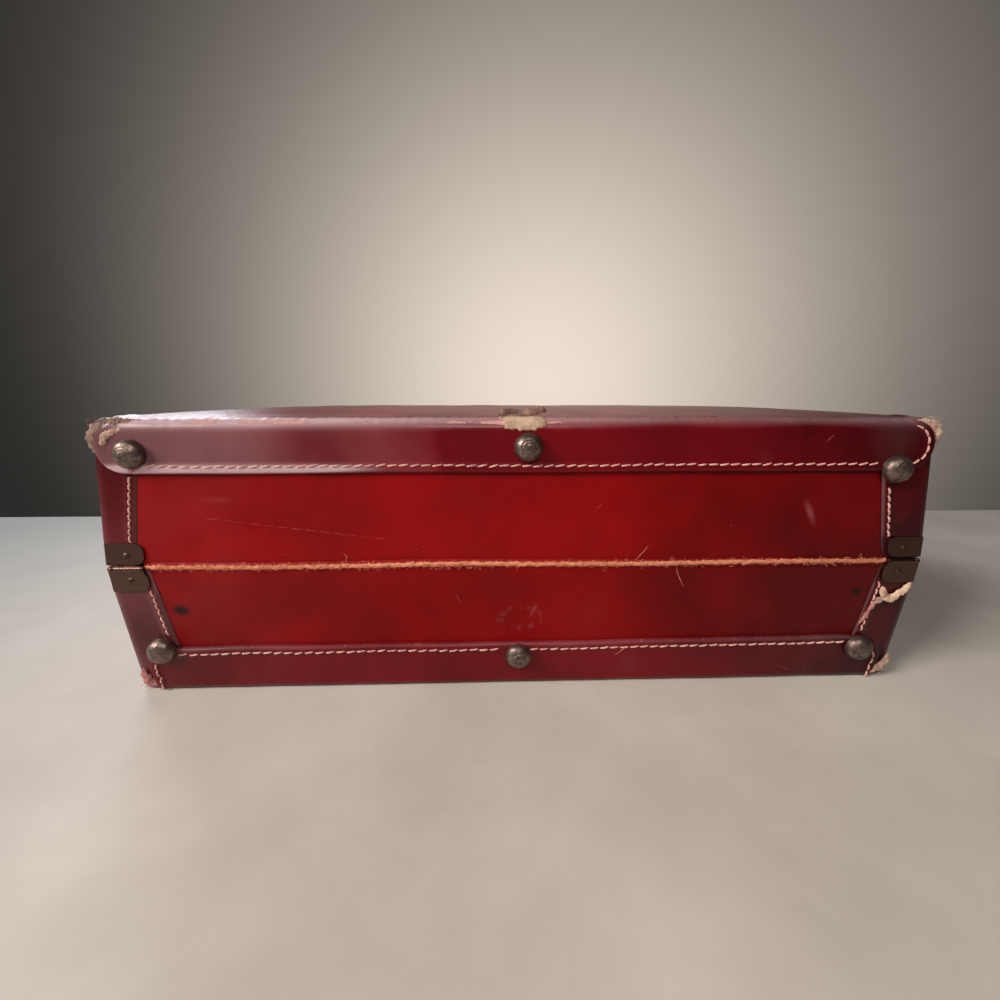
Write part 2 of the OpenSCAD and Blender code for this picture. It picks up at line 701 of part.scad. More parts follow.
// Leather grip, swept along its line; its two ends are straight and stand in the cups
module grip() {
  ends = [cup_floor - glue_gap, cup_z[0] - 0.5];
  steps = [for (i = [1 : grip_rings - 1]) i / grip_rings];
  rings = concat(
    [for (z = ends) grip_ring([-handle_x, z], [0, -1], 0)],
    [for (s = steps) grip_ring(grip_line(s), grip_along(s), grip_swell(s))],
    [for (z = [ends[1], ends[0]]) grip_ring([handle_x, z], [0, 1], 0)]
  );
  n = len(rings);
  k = grip_sides;
  polyhedron(
    points = [for (ring = rings, p = ring) p],
    faces = concat(
      [[for (i = [k - 1 : -1 : 0]) i]],
      [[for (i = [0 : k - 1]) (n - 1) * k + i]],
      [for (j = [0 : n - 2], i = [0 : k - 1]) each [
        [j * k + i, j * k + (i + 1) % k, (j + 1) * k + i],
        [j * k + (i + 1) % k, (j + 1) * k + (i + 1) % k, (j + 1) * k + i]
      ]]
    )
  );
}

// Base
module base_carcass() { color("tan") in_base() carcass(base_depth, 0, base_stud_places, base_front_holes); }
module base_lining() { color("wheat") in_base() lining(base_depth, 0, base_stud_places, base_front_holes); }
module base_face_leather() {
  color([0.36, 0.06, 0.09]) in_base() face_leather(base_depth, 0, base_tab_inset, base_stud_places);
}
module base_hinge_panel() {
  color([0.45, 0.04, 0.05]) in_base() on_hinge_wall() difference() {
    wall_panel(base_depth, base_flap_w, seam_gap, 0);
    drill(base_stud_places, stud_shank_d / 2);
  }
}
module base_front_panel() {
  color([0.45, 0.04, 0.05]) in_base() on_front_wall() difference() {
    wall_panel(base_depth, base_flap_w, rim_z, 0);
    drill(base_front_holes, rivet_r);
  }
}
module base_end_leather(studs) { drilled_end_leather(base_depth, 0, base_flap_w, base_tab_inset, studs, 0); }
module base_left_end_leather() {
  color([0.36, 0.07, 0.1]) in_base() right_end(-1) base_end_leather(mirrored(base_stud_places));
}
module base_right_end_leather() { color([0.36, 0.07, 0.1]) in_base() base_end_leather(base_stud_places); }
function mirrored(places) = [for (p = places) [-p[0], p[1]]];
module base_rim_binding() { color([0.3, 0.05, 0.07]) in_base() rim_binding(); }

// Thin frame that stands up inside the base's opening and lines up the lid
module closing_lip() {
  inset = bind_in + binding_depth * lean + 0.35;
  outer = [2 * (board_x - inset), 2 * (board_y - inset)];
  inner = outer - 2 * [lip_t, lip_t];
  color("peru") translate([0, 0, base_depth - lip_foot]) difference() {
    translate([-outer[0] / 2, -outer[1] / 2, 0]) linear_extrude(lip_foot + lip_rise) rounded(outer, 2.6);
    translate([-inner[0] / 2, -inner[1] / 2, -1]) linear_extrude(lip_foot + lip_rise + 2) rounded(inner, 1);
    translate([-far / 2, -far - board_y + 30, -far / 2]) cube(far);
  }
}

module base_studs() { color([0.4, 0.36, 0.33]) in_base() studs(base_stud_places); }
module base_stud_washers() { color("silver") in_base() stud_washers(base_stud_places); }

// The worn fold of the hinge leather, rolled round the hinge line between the two steel hinges
module leather_hinge_fold() {
  length = 2 * (leaf_in_x - 0.5);
  color([0.8, 0.42, 0.22]) translate([-length / 2, -case_width / 2 - axis_out, base_depth])
    rotate([0, 90, 0]) cylinder(r = axis_out - 0.35, h = length, $fn = round_fn);
}

module left_hinge_base_leaf() { color([0.3, 0.26, 0.23]) in_base() right_end(-1) hinge_leaf([0, 2]); }
module right_hinge_base_leaf() { color([0.3, 0.26, 0.23]) in_base() hinge_leaf([0, 2]); }
module hinge_pins() { color([0.55, 0.52, 0.48]) both_ends() hinge_pin(); }
module base_hinge_rivets() {
  color([0.35, 0.31, 0.28]) in_base() on_hinge_wall()
    rivets(hinge_places, metal_in + leaf_t, shank_in);
}

module left_lock_body() {
  color([0.72, 0.62, 0.4]) in_base() on_front_wall() translate([-lock_x, 0, metal_in]) lock_body();
}
module right_lock_body() { mirror([1, 0, 0]) left_lock_body(); }
module base_lock_rivets() {
  color([0.72, 0.62, 0.4]) in_base() on_front_wall()
    rivets(at_locks(lock_rivets), metal_in + plate_t, shank_in + plate_t);
}
module base_lock_back_plates() {
  color("silver") in_base() on_front_wall()
    for (s = [-1, 1]) translate([s * lock_x, 0, 0]) back_plate(lock_rivets, back_margin);
}
module left_slide_bolt() {
  color([0.75, 0.66, 0.44]) in_base() on_front_wall() translate([-lock_x, 0, metal_in]) slide_bolt();
}
module right_slide_bolt() { mirror([1, 0, 0]) left_slide_bolt(); }

module left_handle_bracket() {
  color([0.72, 0.62, 0.4]) in_base() on_front_wall() translate([-handle_x, 0, metal_in]) handle_bracket();
}
module right_handle_bracket() { mirror([1, 0, 0]) left_handle_bracket(); }
module handle_pivot_pins() { color("silver") both_ends() translate([handle_x, 0, 0]) handle_pin(); }
module handle_bracket_rivets() {
  color([0.72, 0.62, 0.4]) in_base() on_front_wall()
    rivets(bracket_rivets, metal_in + plate_t + 0.2, shank_in + plate_t, bracket_rivet_head);
}
module handle_back_plates() {
  color("silver") in_base() on_front_wall() for (s = [-1, 1])
    translate([s * handle_x, 0, 0]) back_plate([for (u = [-1, 1]) [u * 10, pivot_drop]], back_margin);
}
module handle_end_fittings() {
  color([0.72, 0.62, 0.4]) both_ends() translate([handle_x, handle_axis[0], handle_axis[1]]) end_fitting();
}
module handle_grip() {
  color([0.34, 0.06, 0.08]) translate([0, handle_axis[0], handle_axis[1]]) grip();
}

// Lid
module lid_carcass() {
  color("tan") in_lid() carcass(lid_depth, lid_crown, lid_stud_places, lid_front_holes);
}
module lid_lining() {
  color("wheat") in_lid() lining(lid_depth, lid_crown, lid_stud_places, lid_front_holes);
}
module lid_face_leather() {
  color([0.36, 0.06, 0.09]) in_lid() face_leather(lid_depth, lid_crown, lid_tab_inset, lid_stud_places);
}
module lid_hinge_panel() {
  color([0.45, 0.04, 0.05]) in_lid() on_hinge_wall() difference() {
    wall_panel(lid_depth, lid_flap_w, seam_gap, -lid_panel_shift);
    drill(lid_stud_places, stud_shank_d / 2);
  }
}
module lid_front_panel() {
  color([0.45, 0.04, 0.05]) in_lid() on_front_wall() difference() {
    wall_panel(lid_depth, lid_flap_w, rim_z, -lid_panel_shift);
    drill(lid_front_holes, rivet_r);
  }
}
module lid_end_leather(studs, shift) {
  drilled_end_leather(lid_depth, lid_crown, lid_flap_w, lid_tab_inset, studs, shift);
}
module lid_left_end_leather() {
  color([0.36, 0.07, 0.1]) in_lid() right_end(-1) lid_end_leather(mirrored(lid_stud_places), lid_panel_shift);
}
module lid_right_end_leather() {
  color([0.36, 0.07, 0.1]) in_lid() lid_end_leather(lid_stud_places, -lid_panel_shift);
}
module lid_rim_binding() { color([0.3, 0.05, 0.07]) in_lid() rim_binding(); }
module lid_studs() { color([0.4, 0.36, 0.33]) in_lid() studs(lid_stud_places); }
module lid_stud_washers() { color("silver") in_lid() stud_washers(lid_stud_places); }
module left_hinge_lid_leaf() { color([0.3, 0.26, 0.23]) in_lid() right_end(-1) hinge_leaf([1]); }
module right_hinge_lid_leaf() { color([0.3, 0.26, 0.23]) in_lid() hinge_leaf([1]); }
module lid_hinge_rivets() {
  color([0.35, 0.31, 0.28]) in_lid() on_hinge_wall()
    rivets(hinge_places, metal_in + leaf_t, shank_in);
}
module left_hasp_plate() {
  color([0.72, 0.62, 0.4]) in_lid() on_front_wall() translate([-lock_x, 0, metal_in]) hasp_plate();
}
module right_hasp_plate() { mirror([1, 0, 0]) left_hasp_plate(); }
module lid_lock_rivets() {
  color([0.72, 0.62, 0.4]) in_lid() on_front_wall()
    rivets(at_locks(lid_plate_rivets), metal_in + plate_t, shank_in + plate_t);
}
module lid_lock_back_plates() {
  color("silver") in_lid() on_front_wall()
    for (s = [-1, 1]) translate([s * lock_x, 0, 0]) back_plate(lid_plate_rivets, back_margin);
}
module hasp_pins() { color("silver") both_ends() translate([lock_x, 0, 0]) hasp_pin(); }
module left_hasp() {
  color([0.75, 0.66, 0.44]) in_base() on_front_wall() translate([-lock_x, 0, metal_in]) hasp();
}
module right_hasp() { mirror([1, 0, 0]) left_hasp(); }

base_carcass();
base_lining();
base_face_leather();
base_hinge_panel();
base_front_panel();
base_left_end_leather();
base_right_end_leather();
base_rim_binding();
closing_lip();
base_studs();
base_stud_washers();
leather_hinge_fold();
left_hinge_base_leaf();
right_hinge_base_leaf();
hinge_pins();
base_hinge_rivets();
left_lock_body();
right_lock_body();
base_lock_rivets();
base_lock_back_plates();
left_slide_bolt();
right_slide_bolt();
left_handle_bracket();
right_handle_bracket();
handle_pivot_pins();
handle_bracket_rivets();
handle_back_plates();
handle_end_fittings();
handle_grip();
lid_carcass();
lid_lining();
lid_face_leather();
lid_hinge_panel();
lid_front_panel();
lid_left_end_leather();
lid_right_end_leather();
lid_rim_binding();
lid_studs();
lid_stud_washers();
left_hinge_lid_leaf();
right_hinge_lid_leaf();
lid_hinge_rivets();
left_hasp_plate();
right_hasp_plate();
lid_lock_rivets();
lid_lock_back_plates();
hasp_pins();
left_hasp();
right_hasp();
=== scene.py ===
"""Looks of an old leather suitcase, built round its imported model.

Sizes are in metres. The case lies with its lid up, and its hinge side faces -Y.
"""

import json
import logging
import math
from dataclasses import dataclass
from enum import Enum
from typing import Any, Sequence

import bmesh
import bpy
import numpy as np
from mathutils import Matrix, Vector, noise

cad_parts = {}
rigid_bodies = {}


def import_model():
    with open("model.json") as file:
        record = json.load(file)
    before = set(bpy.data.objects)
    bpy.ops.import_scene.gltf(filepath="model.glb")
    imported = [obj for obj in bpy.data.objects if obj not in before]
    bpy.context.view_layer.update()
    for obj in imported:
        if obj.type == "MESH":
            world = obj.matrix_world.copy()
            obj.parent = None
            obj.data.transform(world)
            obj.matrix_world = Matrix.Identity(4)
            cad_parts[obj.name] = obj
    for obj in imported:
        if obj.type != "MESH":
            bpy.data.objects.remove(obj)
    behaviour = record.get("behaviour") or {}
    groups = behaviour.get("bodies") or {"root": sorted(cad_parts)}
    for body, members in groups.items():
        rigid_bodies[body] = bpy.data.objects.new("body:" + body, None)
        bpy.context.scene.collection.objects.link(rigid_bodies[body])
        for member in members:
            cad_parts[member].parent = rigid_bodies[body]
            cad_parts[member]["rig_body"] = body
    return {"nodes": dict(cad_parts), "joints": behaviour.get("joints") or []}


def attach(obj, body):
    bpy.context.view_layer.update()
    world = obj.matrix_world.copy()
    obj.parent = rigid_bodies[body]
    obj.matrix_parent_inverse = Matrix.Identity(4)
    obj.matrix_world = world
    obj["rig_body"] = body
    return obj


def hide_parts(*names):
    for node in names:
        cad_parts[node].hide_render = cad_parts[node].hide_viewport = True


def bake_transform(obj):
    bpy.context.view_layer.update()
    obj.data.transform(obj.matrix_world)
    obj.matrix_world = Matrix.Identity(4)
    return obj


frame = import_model()
log = logging.getLogger("suitcase")

MM = 0.001
SEAM = frame["joints"][0]["pos_m"][2]
Array = np.ndarray
Faces = list[tuple[int, ...]]
Three = tuple[float, float, float]
OF_COLOUR = {"data_type": "RGBA"}
TIMES_PLUS = {"operation": "MULTIPLY_ADD"}
LARGER = {"operation": "MAXIMUM"}
SOFTLY = {"interpolation_type": "SMOOTHSTEP"}


class Half(Enum):
    """The two halves of the case, with the way that each one's face looks."""

    LID = 1
    BASE = -1

    @property
    def body(self) -> str:
        """Name of the body that the half's pieces ride on."""
        return "lid" if self is Half.LID else "base"


class Wall(Enum):
    """The four walls, each as its outward direction and the direction along it."""

    HINGE = ((0, -1), (1, 0))
    RIGHT = ((1, 0), (0, 1))
    FRONT = ((0, 1), (-1, 0))
    LEFT = ((-1, 0), (0, -1))


@dataclass(frozen=True)
class CaseSizes:
    """Sizes of the case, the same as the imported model's. Offsets are from the outside of the board."""

    length: float = 454 * MM
    width: float = 305 * MM
    base_depth: float = 76 * MM
    lid_depth: float = 78 * MM
    crown: float = 9 * MM
    crown_flat: float = 22 * MM
    crown_round: float = 18 * MM
    lean: float = math.tan(math.radians(3.2))
    glue: float = 0.1 * MM
    leather: float = 1.7 * MM
    corner: float = 6 * MM
    lid_edge: float = 3.5 * MM
    base_edge: float = 0.8 * MM
    strip: float = 28 * MM
    hem: float = 5.2 * MM
    hem_rise: float = 0.7 * MM
    lid_flap: float = 23.7 * MM
    base_flap: float = 26.3 * MM
    flare: float = 5.7 * MM
    lid_panel_shift: float = -3.5 * MM
    lid_tab_inset: float = 9 * MM
    base_tab_inset: float = 15 * MM
    tab_round: float = 14 * MM
    notch: float = 16 * MM
    leaf_height: float = 13.2 * MM
    rim: float = 1.3 * MM
    stud_inset: float = 27.6 * MM

    @property
    def skin(self) -> float:
        """Outside of the wall leather."""
        return self.glue + self.leather

    @property
    def wrap_in(self) -> float:
        """Inside of the face leather where it lies on the wall leather."""
        return self.skin + self.glue

    @property
    def wrap_out(self) -> float:
        """Outside of the face leather where it lies on the wall leather."""
        return self.wrap_in + self.leather

    @property
    def board(self) -> tuple[float, float]:
        """Half length and half width of the board at the opening."""
        return self.length / 2 - self.skin, self.width / 2 - self.skin

    def depth(self, half: Half) -> float:
        """Distance from the seam to the edge of a half's face."""
        return self.lid_depth if half is Half.LID else self.base_depth

    def edge(self, half: Half) -> float:
        """Radius of the board between a half's walls and its face."""
        return self.lid_edge if half is Half.LID else self.base_edge

    def strip_edge(self, half: Half) -> float:
        """Distance from the seam to the turned edge of a half's face leather."""
        return self.depth(half) - self.strip

    def flap_edge(self, half: Half, v: Array | float) -> Array | float:
        """Distance from the middle to the inner edge of an end leather's flap, at a height from the seam."""
        flap = self.lid_flap if half is Half.LID else self.base_flap
        return self.length / 2 - flap - v * (self.lean + self.flare / self.lid_depth)

    def shift(self, half: Half) -> float:
        """How far a half's wall panels are set to the right."""
        return self.lid_panel_shift if half is Half.LID else 0.0


CASE = CaseSizes()


@dataclass(frozen=True)
class StitchSizes:
    """Sizes of the waxed thread and its stitches."""

    pitch: float = 5.8 * MM
    round_pitch: float = 4.4 * MM
    length: float = 6.3 * MM
    radius: float = 0.5 * MM
    flap_pitch: float = 3.9 * MM
    from_edge: float = 3.9 * MM
    flap_from_edge: float = 3.0 * MM


STITCH = StitchSizes()


def place(half: Half, wall: Wall, a: Array | float, v: Array | float, w: Array | float) -> Array:
    """Point on a wall.

    Args:
        half: Half of the case.
        wall: Wall of that half.
        a: Distance along the wall from its middle.
        v: Distance from the seam towards the face.
        w: Distance out from the board.

    Returns:
        The points in the frame, with x, y and z last.
    """
    (ox, oy), (ax, ay) = wall.value
    a, v, w = np.broadcast_arrays(np.asarray(a, float), np.asarray(v, float), np.asarray(w, float))
    board = CASE.board[0] if oy == 0 else CASE.board[1]
    reach = board - v * CASE.lean + w
    return np.stack([ox * reach + ax * a, oy * reach + ay * a, SEAM + half.value * v], -1)


def wall_axes(half: Half, wall: Wall) -> Array:
    """Right-handed axes on a wall as rows: along it, away from the seam, and outwards.

    Args:
        half: Half of the case.
        wall: Wall of that half.

    Returns:
        The three directions.
    """
    (ox, oy), (ax, ay) = wall.value
    out = np.array([ox, oy, half.value * CASE.lean])
    out /= np.linalg.norm(out)
    along = np.array([ax, ay, 0.0]) * half.value
    return np.stack([along, np.cross(out, along), out])


def bell(x: Array | float, centre: float, width: float) -> Array:
    """Bell curve with a height of 1."""
    return np.exp(-(((np.asarray(x) - centre) / width) ** 2))


def smooth(x: Array | float, low: float, high: float) -> Array:
    """Smooth step from 0 at low to 1 at high."""
    t = np.clip((np.asarray(x, float) - low) / (high - low), 0, 1)
    return t * t * (3 - 2 * t)


@dataclass(frozen=True)
class Waves:
    """Gentle unevenness, as a sum of seeded sine waves of about one wavelength."""

    seed: int
    wavelength: float
    count: int = 7

    def at(self, x: Array, y: Array) -> Array:
        """Height between about -1 and 1 at each point.

        Args:
            x: First coordinate, in metres.
            y: Second coordinate, in metres.

        Returns:
            One height for each point.
        """
        rng = np.random.default_rng(self.seed)
        total = np.zeros(np.broadcast(x, y).shape)
        for _ in range(self.count):
            turn, phase = rng.uniform(0, 2 * math.pi, 2)
            k = 2 * math.pi / (self.wavelength * rng.uniform(0.6, 1.7))
            total += np.sin(k * (x * math.cos(turn) + y * math.sin(turn)) + phase)
        return total / math.sqrt(self.count)


def rough(points: Array, size: float) -> Array:
    """Perlin noise between about -1 and 1 at each point, with lumps of the given size."""
    flat = points.reshape(-1, 3) / size
    return np.array([noise.noise(Vector(p)) for p in flat]).reshape(points.shape[:-1])


def grid_normals(grid: Array) -> Array:
    """Unit normals of a grid of points, as rows cross columns."""
    n = np.cross(np.gradient(grid, axis=1), np.gradient(grid, axis=0))
    return n / np.maximum(np.linalg.norm(n, axis=-1, keepdims=True), 1e-12)


def grid_faces(rows: int, columns: int, ring: bool = False, tube: bool = False) -> Faces:
    """Quads between the points of a grid.

    Args:
        rows: Number of rows.
        columns: Number of columns.
        ring: Whether the last column joins the first.
        tube: Whether the last row joins the first.

    Returns:
        Corner numbers of each face.
    """
    j, i = np.meshgrid(np.arange(rows if tube else rows - 1), np.arange(columns if ring else columns - 1))
    j, i = j.ravel(), i.ravel()
    nj, ni = (j + 1) % rows, (i + 1) % columns
    quads = np.stack([j * columns + i, j * columns + ni, nj * columns + ni, nj * columns + i], 1)
    return [tuple(q) for q in quads.tolist()]


def full_turn(count: int) -> Array:
    """Angles evenly round a circle."""
    return np.linspace(0, 2 * math.pi, count, endpoint=False)


def rod_faces(rows: int, count: int, first: int = 0) -> Faces:
    """Faces of a rod that is made of rings of points and capped at both ends.

    Args:
        rows: Number of rings.
        count: Number of points in a ring.
        first: Number of the rod's first point.

    Returns:
        Corner numbers of each face.
    """
    last = (rows - 1) * count
    faces = grid_faces(rows, count, ring=True) + [tuple(range(count)), tuple(range(last, last + count))]
    return [tuple(first + k for k in face) for face in faces]


def set_values(mesh: bpy.types.Mesh, key: str, value: Array | list[float]) -> None:
    """Gives each corner of a mesh a named number, which the finishes read."""
    layer = mesh.attributes.new(key, "FLOAT", "POINT")
    layer.data.foreach_set("value", np.asarray(value, np.float32).ravel())


def make_mesh(
    name: str, points: Array, faces: Faces, values: dict[str, Array] | None = None, sharp: float = 50
) -> bpy.types.Object:
    """Makes a smooth closed piece from points and faces.

    Args:
        name: Name of the piece.
        points: Threes of the corners, in the frame.
        faces: Corner numbers of each face.
        values: Named numbers at the corners, which the finishes read.
        sharp: Angle between faces above which an edge shows, in degrees.

    Returns:
        The new object.
    """
    mesh = bpy.data.meshes.new(name)
    mesh.from_pydata(points.reshape(-1, 3).tolist(), [], faces)
    for key, value in (values or {}).items():
        set_values(mesh, key, value)
    b = bmesh.new()
    b.from_mesh(mesh)
    bmesh.ops.remove_doubles(b, verts=b.verts, dist=0.004 * MM)
    bmesh.ops.dissolve_degenerate(b, edges=b.edges, dist=0.001 * MM)
    bmesh.ops.recalc_face_normals(b, faces=b.faces)
    b.to_mesh(mesh)
    b.free()
    mesh.polygons.foreach_set("use_smooth", [True] * len(mesh.polygons))
    mesh.set_sharp_from_angle(angle=math.radians(sharp))
    made = bpy.data.objects.new(name, mesh)
    bpy.context.scene.collection.objects.link(made)
    return made


def linear(code: str) -> tuple[float, float, float, float]:
    """Linear colour of an sRGB hex code such as 7d0c0f."""
    parts = [int(code[i : i + 2], 16) / 255 for i in (0, 2, 4)]
    return (*(c / 12.92 if c <= 0.04045 else ((c + 0.055) / 1.055) ** 2.4 for c in parts), 1.0)


def add(
    tree: bpy.types.NodeTree, kind: str, settings: dict[str, Any] | None = None, **inputs: Any
) -> bpy.types.Node:
    """Adds a node with its settings, values and links.

    Args:
        tree: Tree that gets the node.
        kind: Kind of node, without its prefix.
        settings: Attributes of the node.
        inputs: Values, output sockets, or nodes whose first output in use is meant, by input name with _ for
            a space, or by number as n0, n1 and so on.

    Returns:
        The node.
    """
    made = tree.nodes.new("ShaderNode" + kind)
    for key, value in (settings or {}).items():
        setattr(made, key, value)
    for key, value in inputs.items():
        numbered = key[0] == "n" and key[1:].isdigit()
        socket = made.inputs[int(key[1:]) if numbered else key.replace("_", " ")]
        if isinstance(value, bpy.types.Node):
            value = next(output for output in value.outputs if output.enabled)
        if isinstance(value, bpy.types.NodeSocket):
            tree.links.new(value, socket)
        else:
            socket.default_value = value
    return made


@dataclass(frozen=True)
class Finish:
    """What every finish has: a name, and a tree that ends in one surface shader."""

    name: str

    def start(self) -> tuple[bpy.types.Material, bpy.types.NodeTree, bpy.types.NodeSocket]:
        """New material.

        Returns:
            The material, its tree, and the coordinates on the piece, in metres.
        """
        material = bpy.data.materials.new(self.name)
        material.use_nodes = True
        tree = material.node_tree
        tree.nodes.clear()
        return material, tree, add(tree, "TexCoord").outputs["Object"]

    def end(self, tree: bpy.types.NodeTree, **inputs: Any) -> None:
        """Adds the surface shader with its values and links."""
        add(tree, "OutputMaterial", Surface=add(tree, "BsdfPrincipled", **inputs))


@dataclass(frozen=True)
class Hide(Finish):
    """Vegetable-tanned cowhide, dyed and polished: mottled dye, pores, fine wrinkles and worn places.

    The eye gets a deep colour under a soft polish that is broken where the surface has dulled from drying and
    rubbing.
    The corners' numbers "worn", "pale" and "deep" say where the grain is rubbed off, where the leather is
    lighter from drying and from a painted sheen and highlight, and where it is darker from darker dye and
    from painted shade; "deep" above 1 turns into the colour of a spilt stain.
    """

    colour: str = "7d0c0f"
    dark: str = "4f070b"
    worn: str = "d9a58c"
    pale: str = "a8575a"
    roughness: float = 0.34
    coat: float = 0.25
    mottle: float = 0.2
    shine: float = 0.14
    gloss: float = 0.21
    stain: str = "1e0c0a"
    pore: float = 0.55 * MM
    wrinkle: float = 2.6 * MM
    cloud: float = 55 * MM
    fleck: float = 5 * MM
    tear: float = 1.1 * MM
    nap: float = 0.4 * MM

    def material(self) -> bpy.types.Material:
        """Builds the leather: first its colour, then its relief, then its polish.

        Returns:
            The material.
        """
        material, t, here = self.start()
        cloud = add(t, "TexNoise", Vector=here, Scale=1 / self.cloud, Detail=3.0, Roughness=0.55)
        flecks = add(t, "TexNoise", Vector=here, Scale=1 / self.fleck, Detail=4.0, Roughness=0.6)
        fine = add(t, "TexNoise", Vector=here, Scale=1 / self.tear, Detail=3.0, Roughness=0.6)
        both = add(t, "Math", TIMES_PLUS, n0=flecks, n1=self.mottle, n2=cloud)
        dye = add(t, "MapRange", Value=both, n1=0.38 + self.mottle / 2, n2=0.6 + self.mottle / 2)
        # Darker where "deep" is high: partly darker dye, partly painted shade towards the ends and the base.
        deep = add(t, "Attribute", {"attribute_name": "deep"}).outputs["Fac"]
        even = add(t, "Math", TIMES_PLUS, n0=dye, n1=0.3, n2=0.7)
        tone = add(t, "Math", {"operation": "SUBTRACT", "use_clamp": True}, n0=even, n1=deep)
        colour = add(t, "Mix", OF_COLOUR, n0=tone, n6=linear(self.dark), n7=linear(self.colour))
        spilt = add(t, "MapRange", Value=deep, n1=1.05, n2=1.5)
        colour = add(t, "Mix", OF_COLOUR, n0=spilt, n6=colour, n7=linear(self.stain))
        # The pale colour mixed in here is partly the leather's drying and partly a painted sheen and
        # highlight on the lit left side and round edges.
        dryness_and_sheen = add(t, "Attribute", {"attribute_name": "pale"}).outputs["Fac"]
        dryness_and_sheen_spots = add(t, "Math", TIMES_PLUS, n0=cloud, n1=0.2, n2=dryness_and_sheen)
        dryness_and_sheen_share = add(t, "MapRange", Value=dryness_and_sheen_spots, n1=0.13, n2=1.05)
        dryness_and_sheen_colour = add(t, "Mix", OF_COLOUR, n0=dryness_and_sheen_share, n6=colour, n7=linear(self.pale))
        rubbed = add(t, "Attribute", {"attribute_name": "worn"}).outputs["Fac"]
        torn = add(t, "Math", TIMES_PLUS, n0=fine, n1=1.2, n2=rubbed)
        bare = add(t, "MapRange", Value=torn, n1=1.08, n2=1.2)
        colour = add(t, "Mix", OF_COLOUR, n0=bare, n6=dryness_and_sheen_colour, n7=linear(self.worn))
        pores = add(t, "TexVoronoi", {"feature": "DISTANCE_TO_EDGE"}, Vector=here, Scale=1 / self.pore)
        pits = add(t, "MapRange", Value=pores, n1=0.0, n2=0.28)
        folds = add(t, "TexNoise", Vector=here, Scale=1 / self.wrinkle, Detail=4.0, Distortion=0.7)
        nap = add(t, "TexNoise", Vector=here, Scale=1 / self.nap, Detail=2.0)
        ragged = add(t, "Math", {"operation": "MULTIPLY"}, n0=nap, n1=bare)
        grain = add(t, "Bump", Height=pits, Strength=0.22, Distance=0.1 * MM)
        creased = add(t, "Bump", Height=folds, Strength=0.5, Distance=0.12 * MM, Normal=grain)
        frayed = add(t, "Bump", Height=ragged, Strength=1.0, Distance=0.5 * MM, Normal=creased)
        dull = self.roughness + 0.1
        polish = add(t, "MapRange", Value=both, n1=0.4, n2=1.0, n3=dull, n4=self.roughness)
        dusted = add(t, "Mix", n0=dryness_and_sheen_share, n2=polish, n3=self.roughness + 0.2)
        matte = add(t, "Mix", n0=bare, n2=dusted, n3=0.85)
        surface = {"Base_Color": colour, "Roughness": matte, "Normal": frayed, "IOR": 1.5}
        coat = {"Coat_Weight": self.coat, "Coat_Roughness": self.gloss}
        self.end(t, **surface, **coat, Specular_IOR_Level=self.shine)
        return material


@dataclass(frozen=True)
class Fibre(Finish):
    """Raw leather fibre, waxed linen thread or bare board: matte, uneven and slightly soft to the eye."""

    colour: str = "d98a5c"
    dark: str = "a85a34"
    lump: float = 0.9 * MM
    depth: float = 0.25 * MM
    sheen: float = 0.15

    def material(self) -> bpy.types.Material:
        """Builds the fibre.

        Returns:
            The material.
        """
        material, t, here = self.start()
        patches = add(t, "TexNoise", Vector=here, Scale=1 / (6 * self.lump), Detail=3.0)
        fuzz = add(t, "TexNoise", Vector=here, Scale=1 / self.lump, Detail=5.0, Roughness=0.7)
        both = add(t, "Math", TIMES_PLUS, n0=fuzz, n1=0.8, n2=patches)
        share = add(t, "MapRange", Value=both, n1=0.65, n2=1.1)
        colour = add(t, "Mix", OF_COLOUR, n0=share, n6=linear(self.dark), n7=linear(self.colour))
        bump = add(t, "Bump", Height=fuzz, Strength=0.8, Distance=self.depth)
        surface = {"Base_Color": colour, "Roughness": 0.86, "Normal": bump}
        self.end(t, **surface, Sheen_Weight=self.sheen, Sheen_Roughness=0.6)
        return material


@dataclass(frozen=True)
class OldMetal(Finish):
    """Pressed steel or brass that has tarnished: bright where hands rub it, brown and dull in between."""

    bright: str = "8f857b"
    tarnish: str = "3e342d"
    roughness: float = 0.36
    spot: float = 3.2 * MM
    rub: float = 0.45
    speck: float = 0.35 * MM
    scratch: float = 2.2 * MM

    def material(self) -> bpy.types.Material:
        """Builds the metal.

        Returns:
            The material.
        """
        material, t, here = self.start()
        blotch = add(t, "TexNoise", Vector=here, Scale=1 / self.spot, Detail=5.0, Roughness=0.65)
        speck = add(t, "TexNoise", Vector=here, Scale=1 / self.speck, Detail=3.0)
        both = add(t, "Math", TIMES_PLUS, n0=speck, n1=0.5, n2=blotch)
        edges = add(t, "NewGeometry").outputs["Pointiness"]
        edges = add(t, "MapRange", Value=edges, n1=0.5, n2=0.62, n4=self.rub)
        rubbed = add(t, "Attribute", {"attribute_name": "worn"}).outputs["Fac"]
        bare = add(t, "Math", n0=edges, n1=rubbed)
        share = add(t, "MapRange", Value=add(t, "Math", n0=both, n1=bare), n1=0.58, n2=1.0)
        colour = add(t, "Mix", OF_COLOUR, n0=share, n6=linear(self.tarnish), n7=linear(self.bright))
        dull = add(t, "MapRange", Value=share, n3=self.roughness + 0.22, n4=self.roughness)
        metal = add(t, "MapRange", Value=share, n3=0.72, n4=1.0)
        drawn = add(t, "Mapping", Vector=here, Scale=(1.0, 6.0, 5.0), Rotation=(0.3, 0.5, 0.7))
        lines = add(t, "TexNoise", Vector=drawn, Scale=1 / self.scratch, Detail=4.0)
        height = add(t, "Math", n0=both, n1=lines)
        bump = add(t, "Bump", Height=height, Strength=0.6, Distance=0.12 * MM)
        self.end(t, Base_Color=colour, Metallic=metal, Roughness=dull, Normal=bump)
        return material


